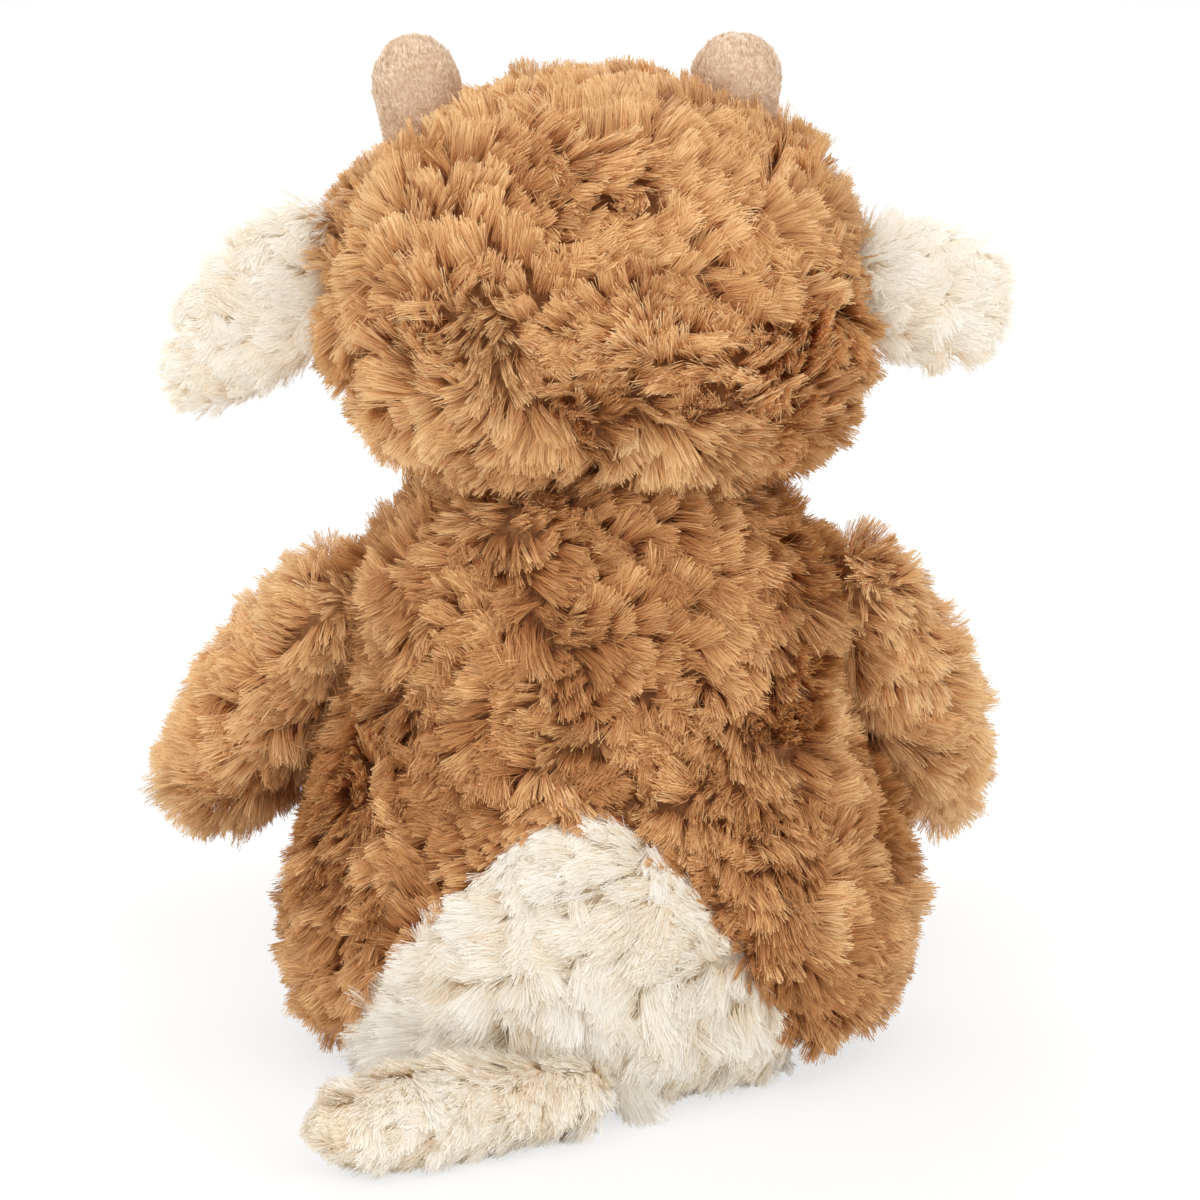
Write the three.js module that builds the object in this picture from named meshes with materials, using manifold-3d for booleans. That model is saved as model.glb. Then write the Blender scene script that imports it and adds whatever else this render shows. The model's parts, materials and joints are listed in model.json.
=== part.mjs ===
// A seated plush cow, about 27 cm tall: long-pile brown body, cream ears, rump patch and tail, beige horns.
// Millimetres, +Z up, the face looks along -Y, and the toy's own left is +X.
// The origin is on the floor, in the middle of the flat seat that the toy rests on.
// Each cover is a sewn shell, its pile included, left open where it is stitched on, and holds its stuffing.
import * as THREE from "three";
import { mergeVertices } from "three/addons/utils/BufferGeometryUtils.js";
import Module from "manifold-3d";

const wasm = await Module();
wasm.setup();

const { degToRad, lerp } = THREE.MathUtils;

// Clearances
const gap = 0.3; // between pieces that are sewn or pressed together
const rootGap = 0.9; // round a limb's ball-shaped root in its seat
const swingGap = 1; // extra room where a limb sweeps past the body

// Body
const hipHalfWidth = 82.5;
const hipHeight = 33;
const hipRise = 28; // how far the hips stay upright above their widest line
const seatHalfWidth = 58;
const shoulderHalfWidth = 53;
const shoulderHeight = 125;
const shoulderLean = 5; // the flank's run inwards over shoulderRise
const shoulderRise = 30;
const bodyTop = 163; // of the uncut neck dome, inside the head's seat
const neckDomeHalfWidth = 44;
const bodyDepthShare = 0.85; // depth over width of the body's rings
const bodyWall = 9; // backing and pile
const neckOpeningRadius = 20;

// Rump patch, an arch of cream plush let into the lower back
const patchHalfWidth = 52;
const patchSide = 2.5; // of its middle, towards the toy's left
const patchBottom = 6;
const patchSpring = 17; // height at which the arch starts
const patchTop = 78;
const patchRoundness = 1.4; // exponent of the arch

// Pellet bag in the seat
const pelletBagHalfWidth = 40;
const pelletBagHalfDepth = 33;
const pelletBagHeight = 26;

// Head
const headHalfWidth = 69;
const headRadius = 57.5;
const headSquareness = 2.35; // exponent of the head's outline seen from behind
const headHeight = 199; // of the head's centre
const headForward = 4;
const headWall = 9;

// Neck thread, the ring of gathering stitches
const neckThreadRadius = 0.8;
const neckThreadRing = 29;

// Muzzle and nostrils
const muzzleHalfWidth = 31;
const muzzleHalfHeight = 21;
const muzzleHalfDepth = 20;
const muzzleDrop = 17; // below the head's centre
const muzzleForward = 48; // of its centre, in front of the head's centre
const nostrilHalfWidth = 4.2;
const nostrilHalfHeight = 3;
const nostrilThickness = 1.2;
const nostrilSpread = 12;
const nostrilRise = 5;

// Safety eyes: a domed head, a stem through the cover and a lock washer inside
const eyeRadius = 6.5;
const eyeDome = 4.6;
const eyePocket = 3; // how deep the pile stands round the eye
const eyeStemRadius = 2.2;
const eyeStemLength = 13;
const eyeWasherRadius = 7.5;
const eyeWasherThickness = 1.6;
const eyeSpread = 27;
const eyeLift = 12; // degrees above the head's centre

// Horns
const hornRadius = 10.4;
const hornRootRadius = 9.6;
const hornLength = 26.5;
const hornSink = { left: 7, right: 8.5 }; // how much of it the head's pile hides
const hornSpread = { left: 44, right: 36 };
const hornForward = 4;
const hornFlatness = 0.86; // depth over width
const hornBendShare = 0.35;
const hornLeanAngle = { left: 10, right: 3 }; // degrees outwards

// Ears: cream backs with a beige lining on the front
const earLength = { left: 38, right: 34 };
const earHalfWidth = 18;
const earRootHalfWidth = 15;
const earHalfThickness = 5;
const earSink = 1.5; // of the root in the head's pile
const earRim = 3; // of the cream back round the lining
const earRise = { left: 6, right: 3 }; // of the root above the head's centre
const earDroop = { left: 35, right: 7 }; // degrees below level

// Arms
const armRootRadius = 19;
const armRadius = 23;
const armLength = { left: 92, right: 84 }; // from the shoulder's centre to the paw's end
const armSink = 5; // how deep the shoulder sits in the body's pile
const armHeight = 119;
const armRootAngle = 86; // round the body from the front
const armSpread = { left: 29, right: 21 }; // degrees out from straight down
const armForward = { left: 24, right: 26 }; // degrees to the front
const armBack = 20; // degrees the arm swings to the back
const armRaise = 80; // degrees the arm swings to the front and up

// Legs
const legRootRadius = 19;
const legRadius = 24;
const legLength = 56; // from the hip's centre to the sole
const legSink = 5;
const legRootAngle = 33;
const legSplay = 14;
const legFlat = 0.5; // depth of the flat that the leg rests on
const legDrop = 30; // degrees the leg hangs when the toy is lifted
const legLift = 45;
const soleRadius = 16;
const soleThickness = 3;
const soleCrown = 1.4;

// Tail
const tailRootRadius = 9;
const tailRadius = 12.5;
const tailLength = 74;
const tailSink = 0; // it is stitched on flat against the patch
const tailRootAngle = 178;
const tailSide = 22; // degrees behind the toy's left
const tailFlat = 0.5;
const tailTuck = 4; // degrees it swings in from where it lies
const tailSwing = 128;

const limbWall = 6; // backing and pile
const pressedWall = 4; // what is left of it where an arm lies against the flank
const sweepStep = 15; // degrees between the poses that a limb is cut clear of
const fillingSweepStep = 30;
const cutReach = 400; // of a cutting block, past any piece

const plush = (color, roughness = 0.95) => new THREE.MeshStandardMaterial({ color, roughness, metalness: 0 });
const materials = {
  brown: plush(0xb98245),
  cream: plush(0xede6d6),
  beige: plush(0xcfae8d, 0.85),
  filling: plush(0xf4f2ec, 1),
  bag: plush(0xd9d4c6, 0.8),
  thread: plush(0x8a5f33, 0.7),
  stitch: plush(0x3b2718, 0.6),
  eye: plush(0x120c08, 0.12),
  washer: plush(0xe9e6dd, 0.4),
};

// A closed three.js geometry as a solid that can be joined and cut.
function solid(geometry) {
  const bare = geometry.clone();
  bare.deleteAttribute("normal");
  bare.deleteAttribute("uv");
  const merged = mergeVertices(bare, 1e-4);
  return new wasm.Manifold(
    new wasm.Mesh({
      numProp: 3,
      vertProperties: new Float32Array(merged.attributes.position.array),
      triVerts: new Uint32Array(merged.index.array),
    }),
  );
}

function geometryOf(made) {
  const mesh = made.getMesh();
  const geometry = new THREE.BufferGeometry();
  geometry.setAttribute("position", new THREE.BufferAttribute(mesh.vertProperties, 3));
  geometry.setIndex(new THREE.BufferAttribute(mesh.triVerts, 1));
  return geometry;
}

function piece(name, made, material) {
  const mesh = new THREE.Mesh(geometryOf(made), materials[material]);
  mesh.name = name;
  return mesh;
}

// The profile turned round +Z. Its points are (radius, height), from the lower to the upper end of the axis.
const turned = (profile, sides) => new THREE.LatheGeometry(profile, sides).rotateX(Math.PI / 2);

// The profile drawn in by a distance, square to its own line, with both ends kept on the axis.
function inset(profile, distance) {
  return profile.map((point, i) => {
    const before = profile[Math.max(i - 1, 0)];
    const after = profile[Math.min(i + 1, profile.length - 1)];
    const along = after.clone().sub(before).normalize();
    const moved = new THREE.Vector2(point.x - along.y * distance, point.y + along.x * distance);
    const onAxis = point.x < 1e-6;
    if (onAxis) moved.set(0, point.y + (i === 0 ? distance : -distance));
    return moved;
  });
}

const box = (width, depth, height, x, y, z) =>
  solid(new THREE.BoxGeometry(width, depth, height).translate(x, y, z));
const ball = (radius, centre, sides = 20) =>
  solid(new THREE.SphereGeometry(radius, sides, sides / 2).translate(centre.x, centre.y, centre.z));
const post = (radius, low, high, sides = 24) =>
  solid(
    new THREE.CylinderGeometry(radius, radius, high - low, sides).rotateX(Math.PI / 2).translate(0, 0, (low + high) / 2),
  );
const moved = (made, at) => made.translate([at.x, at.y, at.z]);

// A stuffed limb lying along +Z from its ball-shaped root, swelling to its belly and closing in a blunt end.
function limbProfile({ root, belly, length, bellyAt, endRadius = 0, bluntness = 2.3, rootSteps = 5, steps = 9 }) {
  const points = [];
  for (let i = 0; i < rootSteps; i++) {
    const a = (i / rootSteps) * (Math.PI / 2);
    points.push(new THREE.Vector2(root * Math.sin(a), -root * Math.cos(a)));
  }
  const swellSteps = Math.round(steps / 3);
  for (let i = 0; i < swellSteps; i++) {
    const t = i / swellSteps;
    points.push(new THREE.Vector2(lerp(root, belly, Math.sin((t * Math.PI) / 2)), t * bellyAt));
  }
  for (let i = 0; i <= steps - swellSteps; i++) {
    const a = (i / (steps - swellSteps)) * (Math.PI / 2);
    const across = Math.cos(a) ** (2 / bluntness);
    const along = Math.sin(a) ** (2 / bluntness);
    const radius = i === steps - swellSteps ? endRadius : lerp(endRadius, belly, across);
    points.push(new THREE.Vector2(radius, lerp(bellyAt, length, along)));
  }
  if (endRadius > 0) points.push(new THREE.Vector2(0, length));
  return points;
}

// The body's outline: a flat seat, round hips, a flank that leans in to the shoulders and a dome under the head.
function bodyProfile() {
  const round = 0.5523; // a cubic curve's share for a quarter ellipse
  const outline = new THREE.Path();
  outline.moveTo(seatHalfWidth, 0);
  outline.bezierCurveTo(
    lerp(seatHalfWidth, hipHalfWidth, round), 0,
    hipHalfWidth, hipHeight * (1 - round),
    hipHalfWidth, hipHeight,
  );
  outline.bezierCurveTo(
    hipHalfWidth, hipHeight + hipRise,
    shoulderHalfWidth + shoulderLean, shoulderHeight - shoulderRise,
    shoulderHalfWidth, shoulderHeight,
  );
  outline.bezierCurveTo(
    shoulderHalfWidth - 0.75 * shoulderLean, shoulderHeight + 0.75 * shoulderRise,
    neckDomeHalfWidth, bodyTop,
    0, bodyTop,
  );
  const points = outline.getPoints(5);
  points[points.length - 1].set(0, bodyTop);
  return [new THREE.Vector2(0, 0), ...points];
}

const bodyLine = bodyProfile();
const bodyForm = (distance, sides = 28) => solid(turned(inset(bodyLine, distance), sides).scale(1, bodyDepthShare, 1));

function bodyHalfWidthAt(height) {
  const above = bodyLine.findIndex((point, i) => i > 1 && point.y >= height);
  const low = bodyLine[above - 1];
  const high = bodyLine[above];
  return lerp(low.x, high.x, (height - low.y) / (high.y - low.y));
}

// The centre of a limb's root ball: on the body's skin at that angle round from the front, sunk in by its seam.
function rootCentre(angle, height, radius, sink) {
  const wide = bodyHalfWidthAt(height);
  const deep = wide * bodyDepthShare;
  const [s, c] = [Math.sin(degToRad(angle)), Math.cos(degToRad(angle))];
  const reach = (wide * deep) / Math.hypot(deep * s, wide * c) + radius - sink;
  return new THREE.Vector3(s * reach, -c * reach, height);
}

const mirrored = (point, side) => new THREE.Vector3(point.x * side, point.y, point.z);
const sides = { left: 1, right: -1 };

// Head: turned round X, so that it can nod in its seat. Its outline is a squared ellipse.
function squaredProfile(halfLength, radius, exponent, steps) {
  const points = [];
  for (let i = 0; i <= steps; i++) {
    const a = (i / steps) * Math.PI;
    const across = i === 0 || i === steps ? 0 : Math.sin(a) ** (2 / exponent);
    const along = Math.sign(Math.cos(a)) * Math.abs(Math.cos(a)) ** (2 / exponent);
    points.push(new THREE.Vector2(radius * across, -halfLength * along));
  }
  return points;
}

const headLine = squaredProfile(headHalfWidth, headRadius, headSquareness, 14);
const headForm = (distance, steps = 28) =>
  solid(turned(inset(headLine, distance), steps).rotateY(Math.PI / 2));
const headCentre = new THREE.Vector3(0, -headForward, headHeight);

// The head's skin, from its centre, at a distance across and an angle above the front.
function onHead(across, lift) {
  const share = (across / headHalfWidth) ** headSquareness;
  const ring = headRadius * (1 - share) ** (1 / headSquareness);
  const slope =
    (headRadius / headHalfWidth) ** headSquareness * (across / ring) ** (headSquareness - 1);
  const [s, c] = [Math.sin(degToRad(lift)), Math.cos(degToRad(lift))];
  return {
    at: new THREE.Vector3(across, -ring * c, ring * s),
    out: new THREE.Vector3(slope, -c, s).normalize(),
  };
}

// The space that the head needs under it however it turns: its lower outline turned round Z.
function headSweep(clear) {
  const steps = 9;
  const reach = headHalfWidth + clear;
  const deep = headRadius + clear;
  const points = [];
  for (let i = 0; i <= steps; i++) {
    const a = (i / steps) * (Math.PI / 2);
    const across = Math.sin(a) ** (2 / headSquareness);
    const down = i === steps ? 0 : Math.cos(a) ** (2 / headSquareness);
    points.push(new THREE.Vector2(reach * across, -deep * down));
  }
  points.push(new THREE.Vector2(0, 0));
  return moved(solid(turned(points, 28)), headCentre);
}

function neckRing(radius, steps) {
  const across = (neckThreadRing / headHalfWidth) ** headSquareness;
  const drop = headRadius * (1 - across) ** (1 / headSquareness);
  return solid(
    new THREE.TorusGeometry(neckThreadRing, radius, 5, steps).translate(0, 0, -drop - 2 * gap - neckThreadRadius),
  );
}

// Arms, legs and tail: where each root sits and which way the limb lies at rest
function armFrame(name) {
  const side = sides[name];
  const [spread, forward] = [degToRad(armSpread[name]), degToRad(armForward[name])];
  return {
    at: mirrored(rootCentre(armRootAngle, armHeight, armRootRadius, armSink), side),
    along: new THREE.Vector3(
      side * Math.sin(spread) * Math.cos(forward),
      -Math.sin(forward),
      -Math.cos(spread) * Math.cos(forward),
    ),
  };
}

function legFrame(name) {
  const side = sides[name];
  const splay = degToRad(legSplay);
  return {
    at: mirrored(rootCentre(legRootAngle, legRadius - legFlat, legRootRadius, legSink), side),
    along: new THREE.Vector3(side * Math.sin(splay), -Math.cos(splay), 0),
  };
}

function tailFrame() {
  const turn = degToRad(tailSide);
  return {
    at: rootCentre(tailRootAngle, tailRadius - tailFlat, tailRootRadius + gap, tailSink),
    along: new THREE.Vector3(Math.cos(turn), Math.sin(turn), 0),
  };
}

// A group at the limb's root whose +Z runs along the limb, level limbs with +X up.
function limbGroup({ at, along }) {
  const group = new THREE.Group();
  group.position.copy(at);
  const up = new THREE.Vector3(0, 0, 1);
  const side = Math.abs(along.z) > 0.3 ? new THREE.Vector3(0, 1, 0) : up;
  const across = side.clone().addScaledVector(along, -side.dot(along)).normalize();
  group.quaternion.setFromRotationMatrix(
    new THREE.Matrix4().makeBasis(across, along.clone().cross(across), along),
  );
  group.updateMatrixWorld(true);
  return group;
}

// A limb, in its group's frame, less whatever a body grown by a distance would cut from it in its swing.
// The body has the root ball's seat in it.
function clearOfBody(limb, { group, radius, axis, from, to, grown = swingGap, bodySides = 28, step = sweepStep }) {
  const body = bodyForm(-grown, bodySides).subtract(ball(radius + rootGap / 2, group.position));
  const toLimb = group.matrixWorld.clone().invert();
  const steps = Math.ceil((to - from) / step);
  let made = limb;
  for (let i = 0; i <= steps; i++) {
    const turn = new THREE.Matrix4().makeRotationAxis(axis, -degToRad(lerp(from, to, i / steps)));
    const about = new THREE.Matrix4()
      .makeTranslation(group.position)
      .multiply(turn)
      .multiply(new THREE.Matrix4().makeTranslation(group.position.clone().negate()));
    made = made.subtract(body.transform(toLimb.clone().multiply(about).elements));
  }
  return made;
}

// Takes off what would lie under the floor, for a level limb whose group has +X up.
function restedOn(made, height) {
  return made.subtract(box(cutReach, cutReach, cutReach, -height - cutReach / 2, 0, 0));
}

function bodyPieces(limbs) {
  const outer = bodyForm(0);
  const cavity = bodyForm(bodyWall, 18);
  const neckHole = post(neckOpeningRadius, bodyTop / 2, bodyTop + 1);
  const seat = headSweep(gap);
  const groove = moved(neckRing(neckThreadRadius + gap, 24), headCentre);
  let shell = outer.subtract(cavity).subtract(neckHole).subtract(seat).subtract(groove);
  for (const { group, radius } of limbs) shell = shell.subtract(ball(radius + rootGap, group.position));

  const patch = shell.intersect(patchPrism(0));
  const cover = shell.subtract(patchPrism(gap));

  const filling = bodyForm(bodyWall + gap, 18)
    .subtract(headSweep(headWall))
    .subtract(pelletBag(gap).add(belowPelletBag()));
  return [
    piece("body_cover", cover, "brown"),
    piece("rump_patch", patch, "cream"),
    piece("body_stuffing", filling, "filling"),
    piece("pellet_bag", pelletBag(0), "bag"),
  ];
}

// The arch of the rump patch, extruded through the back of the body and grown by a distance.
function patchPrism(grown) {
  const steps = 12;
  const outline = new THREE.Shape();
  outline.moveTo(patchHalfWidth + grown, patchBottom - grown);
  for (let i = 0; i <= steps; i++) {
    const a = (i / steps) * Math.PI;
    const across = Math.sign(Math.cos(a)) * Math.abs(Math.cos(a)) ** (2 / patchRoundness);
    const up = Math.sin(a) ** (2 / patchRoundness);
    const rise = patchTop - patchSpring + grown;
    outline.lineTo((patchHalfWidth + grown) * across, patchSpring + rise * (i === steps ? 0 : up));
  }
  outline.lineTo(-patchHalfWidth - grown, patchBottom - grown);
  outline.closePath();
  const prism = new THREE.ExtrudeGeometry(outline, { depth: hipHalfWidth, bevelEnabled: false, curveSegments: 1 });
  return solid(prism.rotateX(Math.PI / 2).translate(patchSide, hipHalfWidth, 0));
}

const pelletBagMiddle = bodyWall + gap + pelletBagHeight / 2;

function pelletBag(grown) {
  const bag = squaredProfile(pelletBagHeight / 2 + grown, 1, 2.6, 10);
  const form = turned(bag, 20).scale(pelletBagHalfWidth + grown, pelletBagHalfDepth + grown, 1);
  return solid(form.translate(0, 0, pelletBagMiddle));
}

// The bag stands on the seat's backing, so its place in the stuffing is open below.
function belowPelletBag() {
  const form = new THREE.CylinderGeometry(1, 1, pelletBagMiddle, 20).rotateX(Math.PI / 2);
  form.rotateZ(Math.PI / 2);
  form.scale(pelletBagHalfWidth + gap, pelletBagHalfDepth + gap, 1);
  return solid(form.translate(0, 0, pelletBagMiddle / 2));
}

const neckPieces = () => [piece("neck_thread", neckRing(neckThreadRadius, 24), "thread")];

// One eye along +Z with its back on z = 0, and its washer just inside the cover.
function eyeSolid() {
  const dome = [new THREE.Vector2(0, -eyeStemLength), new THREE.Vector2(eyeStemRadius, -eyeStemLength)];
  dome.push(new THREE.Vector2(eyeStemRadius, 0), new THREE.Vector2(eyeRadius, 0));
  const steps = 5;
  for (let i = 1; i < steps; i++) {
    const a = (i / steps) * (Math.PI / 2);
    dome.push(new THREE.Vector2(eyeRadius * Math.cos(a), eyeDome * Math.sin(a)));
  }
  dome.push(new THREE.Vector2(0, eyeDome));
  return solid(turned(dome, 16));
}

const eyeWasherTop = -(headWall - eyePocket) - gap;
const washerSolid = () =>
  post(eyeWasherRadius, eyeWasherTop - eyeWasherThickness, eyeWasherTop, 16).subtract(
    post(eyeStemRadius + gap, eyeWasherTop - 2 * eyeWasherThickness, eyeWasherTop + 1, 12),
  );

// The room that an eye takes: a pocket in the pile, the stem's hole and the washer's place in the stuffing.
function eyeRoom() {
  const pocket = post(eyeRadius + gap, 0, 2 * headWall, 16);
  const stem = post(eyeStemRadius + gap, -eyeStemLength - gap, 1, 12);
  const washer = post(eyeWasherRadius + gap, -eyeStemLength - gap, eyeWasherTop + gap, 16);
  return { cover: pocket.add(stem).add(washer), filling: washer.add(stem) };
}

function eyeFrame(side) {
  const { at, out } = onHead(eyeSpread, eyeLift);
  at.addScaledVector(out, -eyePocket);
  const group = limbGroup({ at: mirrored(at, side), along: mirrored(out, side) });
  group.updateMatrix();
  return group;
}

const muzzleForm = (grown) =>
  solid(
    new THREE.SphereGeometry(1, 20, 12)
      .scale(muzzleHalfWidth + grown, muzzleHalfDepth + grown, muzzleHalfHeight + grown)
      .translate(0, -muzzleForward, -muzzleDrop),
  );

function nostrilSolid(side) {
  const [x, z] = [nostrilSpread / muzzleHalfWidth, nostrilRise / muzzleHalfHeight];
  const front = -muzzleForward - muzzleHalfDepth * Math.sqrt(1 - x * x - z * z);
  const lens = new THREE.SphereGeometry(1, 14, 8).scale(nostrilHalfWidth, 2 * nostrilThickness, nostrilHalfHeight);
  const placed = solid(lens.translate(side * nostrilSpread, front - gap, nostrilRise - muzzleDrop));
  return placed.subtract(muzzleForm(gap));
}

function headPieces(ears) {
  const outer = headForm(0);
  const neckHole = post(neckOpeningRadius, -headRadius - 1, 0);
  let cover = outer.subtract(headForm(headWall, 18)).subtract(neckHole);
  let filling = headForm(headWall + gap, 18);
  const room = eyeRoom();
  const made = [];
  for (const [name, side] of Object.entries(sides)) {
    const group = eyeFrame(side);
    const frame = group.matrix.elements;
    cover = cover.subtract(room.cover.transform(frame)).subtract(earSeat(name));
    filling = filling.subtract(room.filling.transform(frame));
    group.add(piece(`${name}_eye`, eyeSolid(), "eye"), piece(`${name}_eye_washer`, washerSolid(), "washer"));
    made.push(group, hornPiece(name), piece(`${name}_nostril`, nostrilSolid(side), "stitch"), ears[name]);
  }
  const muzzle = muzzleForm(0).subtract(headForm(-gap));
  return [
    piece("head_cover", cover, "brown"),
    piece("head_stuffing", filling, "filling"),
    piece("muzzle", muzzle, "cream"),
    ...made,
  ];
}

// A horn stands on the head's skin, leans out by its own angle and bends back to upright.
function hornPiece(name) {
  const side = sides[name];
  const profile = limbProfile({
    root: hornRootRadius, belly: hornRadius, length: hornLength,
    bellyAt: hornLength * 0.5, rootSteps: 2, steps: 8, bluntness: 2.1,
  });
  const form = turned(profile, 14).scale(1, hornFlatness, 1);
  const points = form.attributes.position;
  for (let i = 0; i < points.count; i++) {
    const rise = Math.max(points.getZ(i), 0) / hornLength;
    points.setX(i, points.getX(i) - side * hornBendShare * hornRadius * rise * rise);
  }
  const { at } = onHead(hornSpread[name], 90);
  const stand = new THREE.Vector3(side * hornSpread[name], -hornForward, at.z - hornSink[name]);
  const lean = new THREE.Matrix4().makeRotationY(side * degToRad(hornLeanAngle[name]));
  const placed = solid(form.applyMatrix4(lean).translate(stand.x, stand.y, stand.z));
  return piece(`${name}_horn`, placed.subtract(headForm(-gap)), "beige");
}

// An ear lies along +X from its root seam, which runs up its own Z, and droops beyond it. Its rings are sheared,
// and made taller by the same droop, so that it is as wide across as a level one.
function earForm(name, drawnIn) {
  const profile = limbProfile({
    root: earRootHalfWidth, belly: earHalfWidth, length: earLength[name],
    bellyAt: earLength[name] * 0.35, rootSteps: 4, steps: 9, bluntness: 2.2,
  });
  const shortRoot = profile.map((p) => new THREE.Vector2(p.x, p.y < 0 ? (p.y * earHalfThickness) / earRootHalfWidth : p.y));
  const flat = inset(shortRoot, drawnIn);
  const thickness = earHalfThickness / (earHalfWidth - drawnIn);
  const form = turned(flat, 16).rotateY(Math.PI / 2).scale(1, thickness, 1);
  const points = form.attributes.position;
  const droop = degToRad(earDroop[name]);
  for (let i = 0; i < points.count; i++) {
    const fall = Math.tan(droop) * Math.max(points.getX(i), 0);
    points.setZ(i, points.getZ(i) / Math.cos(droop) - fall);
  }
  return form;
}

const earRoot = (name) =>
  new THREE.Vector3(sides[name] * (headHalfWidth + earHalfThickness - earSink), 0, earRise[name]);

// The hollow in the head's pile that an ear's root turns in.
function earSeat(name) {
  const round = earHalfThickness + 2 * gap;
  const form = new THREE.SphereGeometry(1, 16, 12).rotateX(Math.PI / 2);
  const tall = earRootHalfWidth / Math.cos(degToRad(earDroop[name])) + 2 * gap;
  return moved(solid(form.scale(round, round, tall)), earRoot(name));
}

function earGroup(name) {
  const side = sides[name];
  const group = new THREE.Group();
  group.position.copy(earRoot(name));
  const form = solid(earForm(name, 0));
  const front = (back) => box(cutReach, cutReach, cutReach, 0, back - cutReach / 2, 0);
  const lining = solid(earForm(name, earRim)).intersect(front(-gap));
  const pocket = solid(earForm(name, earRim - gap)).intersect(front(0));
  const turn = side < 0 ? new THREE.Matrix4().makeScale(-1, 1, 1) : new THREE.Matrix4();
  group.add(
    piece(`${name}_ear_back`, form.subtract(pocket).transform(turn.elements), "cream"),
    piece(`${name}_ear_lining`, lining.transform(turn.elements), "beige"),
  );
  return group;
}

// The hole in a limb's root, which faces the middle of the body.
function rootOpening({ group, radius }) {
  const inward = new THREE.Vector3(-group.position.x, -group.position.y, 0).normalize();
  const turn = new THREE.Quaternion().setFromUnitVectors(new THREE.Vector3(0, 0, 1), inward);
  turn.premultiply(group.quaternion.clone().invert());
  return post(0.5 * radius, 0, radius + 1, 14).transform(new THREE.Matrix4().makeRotationFromQuaternion(turn).elements);
}

// A limb's cover is open at its root, where it is stitched to the body, and the stuffing fills it.
function limbPieces(name, profile, outer, sweep, material) {
  const inside = (drawnIn) => {
    const grown = swingGap + pressedWall + drawnIn - limbWall;
    const form = solid(turned(inset(profile, drawnIn), 12));
    return clearOfBody(form, { ...sweep, grown, bodySides: 16, step: fillingSweepStep });
  };
  const cover = outer.subtract(inside(limbWall)).subtract(rootOpening(sweep));
  return [piece(`${name}_cover`, cover, material), piece(`${name}_stuffing`, inside(limbWall + gap), "filling")];
}

function armGroup(name) {
  const group = limbGroup(armFrame(name));
  const length = armLength[name];
  const profile = limbProfile({ root: armRootRadius, belly: armRadius, length, bellyAt: length * 0.5 });
  const sweep = { group, radius: armRootRadius, axis: new THREE.Vector3(-1, 0, 0), from: -armBack, to: armRaise };
  const outer = clearOfBody(solid(turned(profile, 18)), sweep);
  group.add(...limbPieces(`${name}_arm`, profile, outer, sweep, "brown"));
  return group;
}

function legGroup(name) {
  const group = limbGroup(legFrame(name));
  const profile = limbProfile({
    root: legRootRadius, belly: legRadius, length: legLength,
    bellyAt: legLength * 0.55, endRadius: soleRadius + gap, bluntness: 2.2,
  });
  const whole = restedOn(solid(turned(profile, 20)), legRadius - legFlat);
  const sweep = { group, radius: legRootRadius, axis: new THREE.Vector3(-1, 0, 0), from: -legDrop, to: legLift };
  const outer = clearOfBody(whole, sweep).subtract(post(soleRadius + gap, legLength - soleThickness, legLength + 1));
  group.add(...limbPieces(`${name}_leg`, profile, outer, sweep, "brown"), solePiece(name));
  return group;
}

// A beige sole, let into the foot's flat end and crowned like a padded disc.
function solePiece(name) {
  const low = legLength - soleThickness + gap;
  const rim = [new THREE.Vector2(0, low), new THREE.Vector2(soleRadius, low)];
  const steps = 5;
  for (let i = 0; i < steps; i++) {
    const t = i / steps;
    rim.push(new THREE.Vector2(soleRadius * (1 - t), legLength + soleCrown * Math.sin((t * Math.PI) / 2)));
  }
  rim.push(new THREE.Vector2(0, legLength + soleCrown));
  return piece(`${name}_sole`, solid(turned(rim, 20)), "beige");
}

function tailGroup() {
  const group = limbGroup(tailFrame());
  const profile = limbProfile({
    root: tailRootRadius, belly: tailRadius, length: tailLength, bellyAt: tailLength * 0.6, bluntness: 2.1,
  });
  const whole = restedOn(solid(turned(profile, 18)), tailRadius - tailFlat);
  const sweep = { group, radius: tailRootRadius, axis: new THREE.Vector3(0, 0, 1), from: -tailTuck, to: tailSwing };
  const outer = clearOfBody(whole, sweep);
  group.add(...limbPieces("tail", profile, outer, sweep, "cream"));
  return group;
}

const limbs = Object.keys(sides).flatMap((name) => [
  { group: armGroup(name), radius: armRootRadius },
  { group: legGroup(name), radius: legRootRadius },
]);
const tail = { group: tailGroup(), radius: tailRootRadius };

const head = new THREE.Group();
head.position.copy(headCentre);
head.add(...neckPieces(), ...headPieces({ left: earGroup("left"), right: earGroup("right") }));

const cow = new THREE.Group();
cow.add(...bodyPieces([...limbs, tail]), head, ...limbs.map((limb) => limb.group), tail.group);

export default cow;
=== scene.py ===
"""A seated plush cow: long clumped brown pile, cream rump patch, ears and tail, and beige short-pile horns.

The soft covers are modelled as stuffed skins, and the pile on them as single tapered hairs in tufts.
Lengths are in metres in the row's frame: +Z up, the face looks along -Y, +X towards the toy's own left.
"""

import json
from math import cos, pi, radians, sin, tan

import bpy
import numpy as np
from mathutils import Euler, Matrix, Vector
from mathutils.kdtree import KDTree


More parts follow.
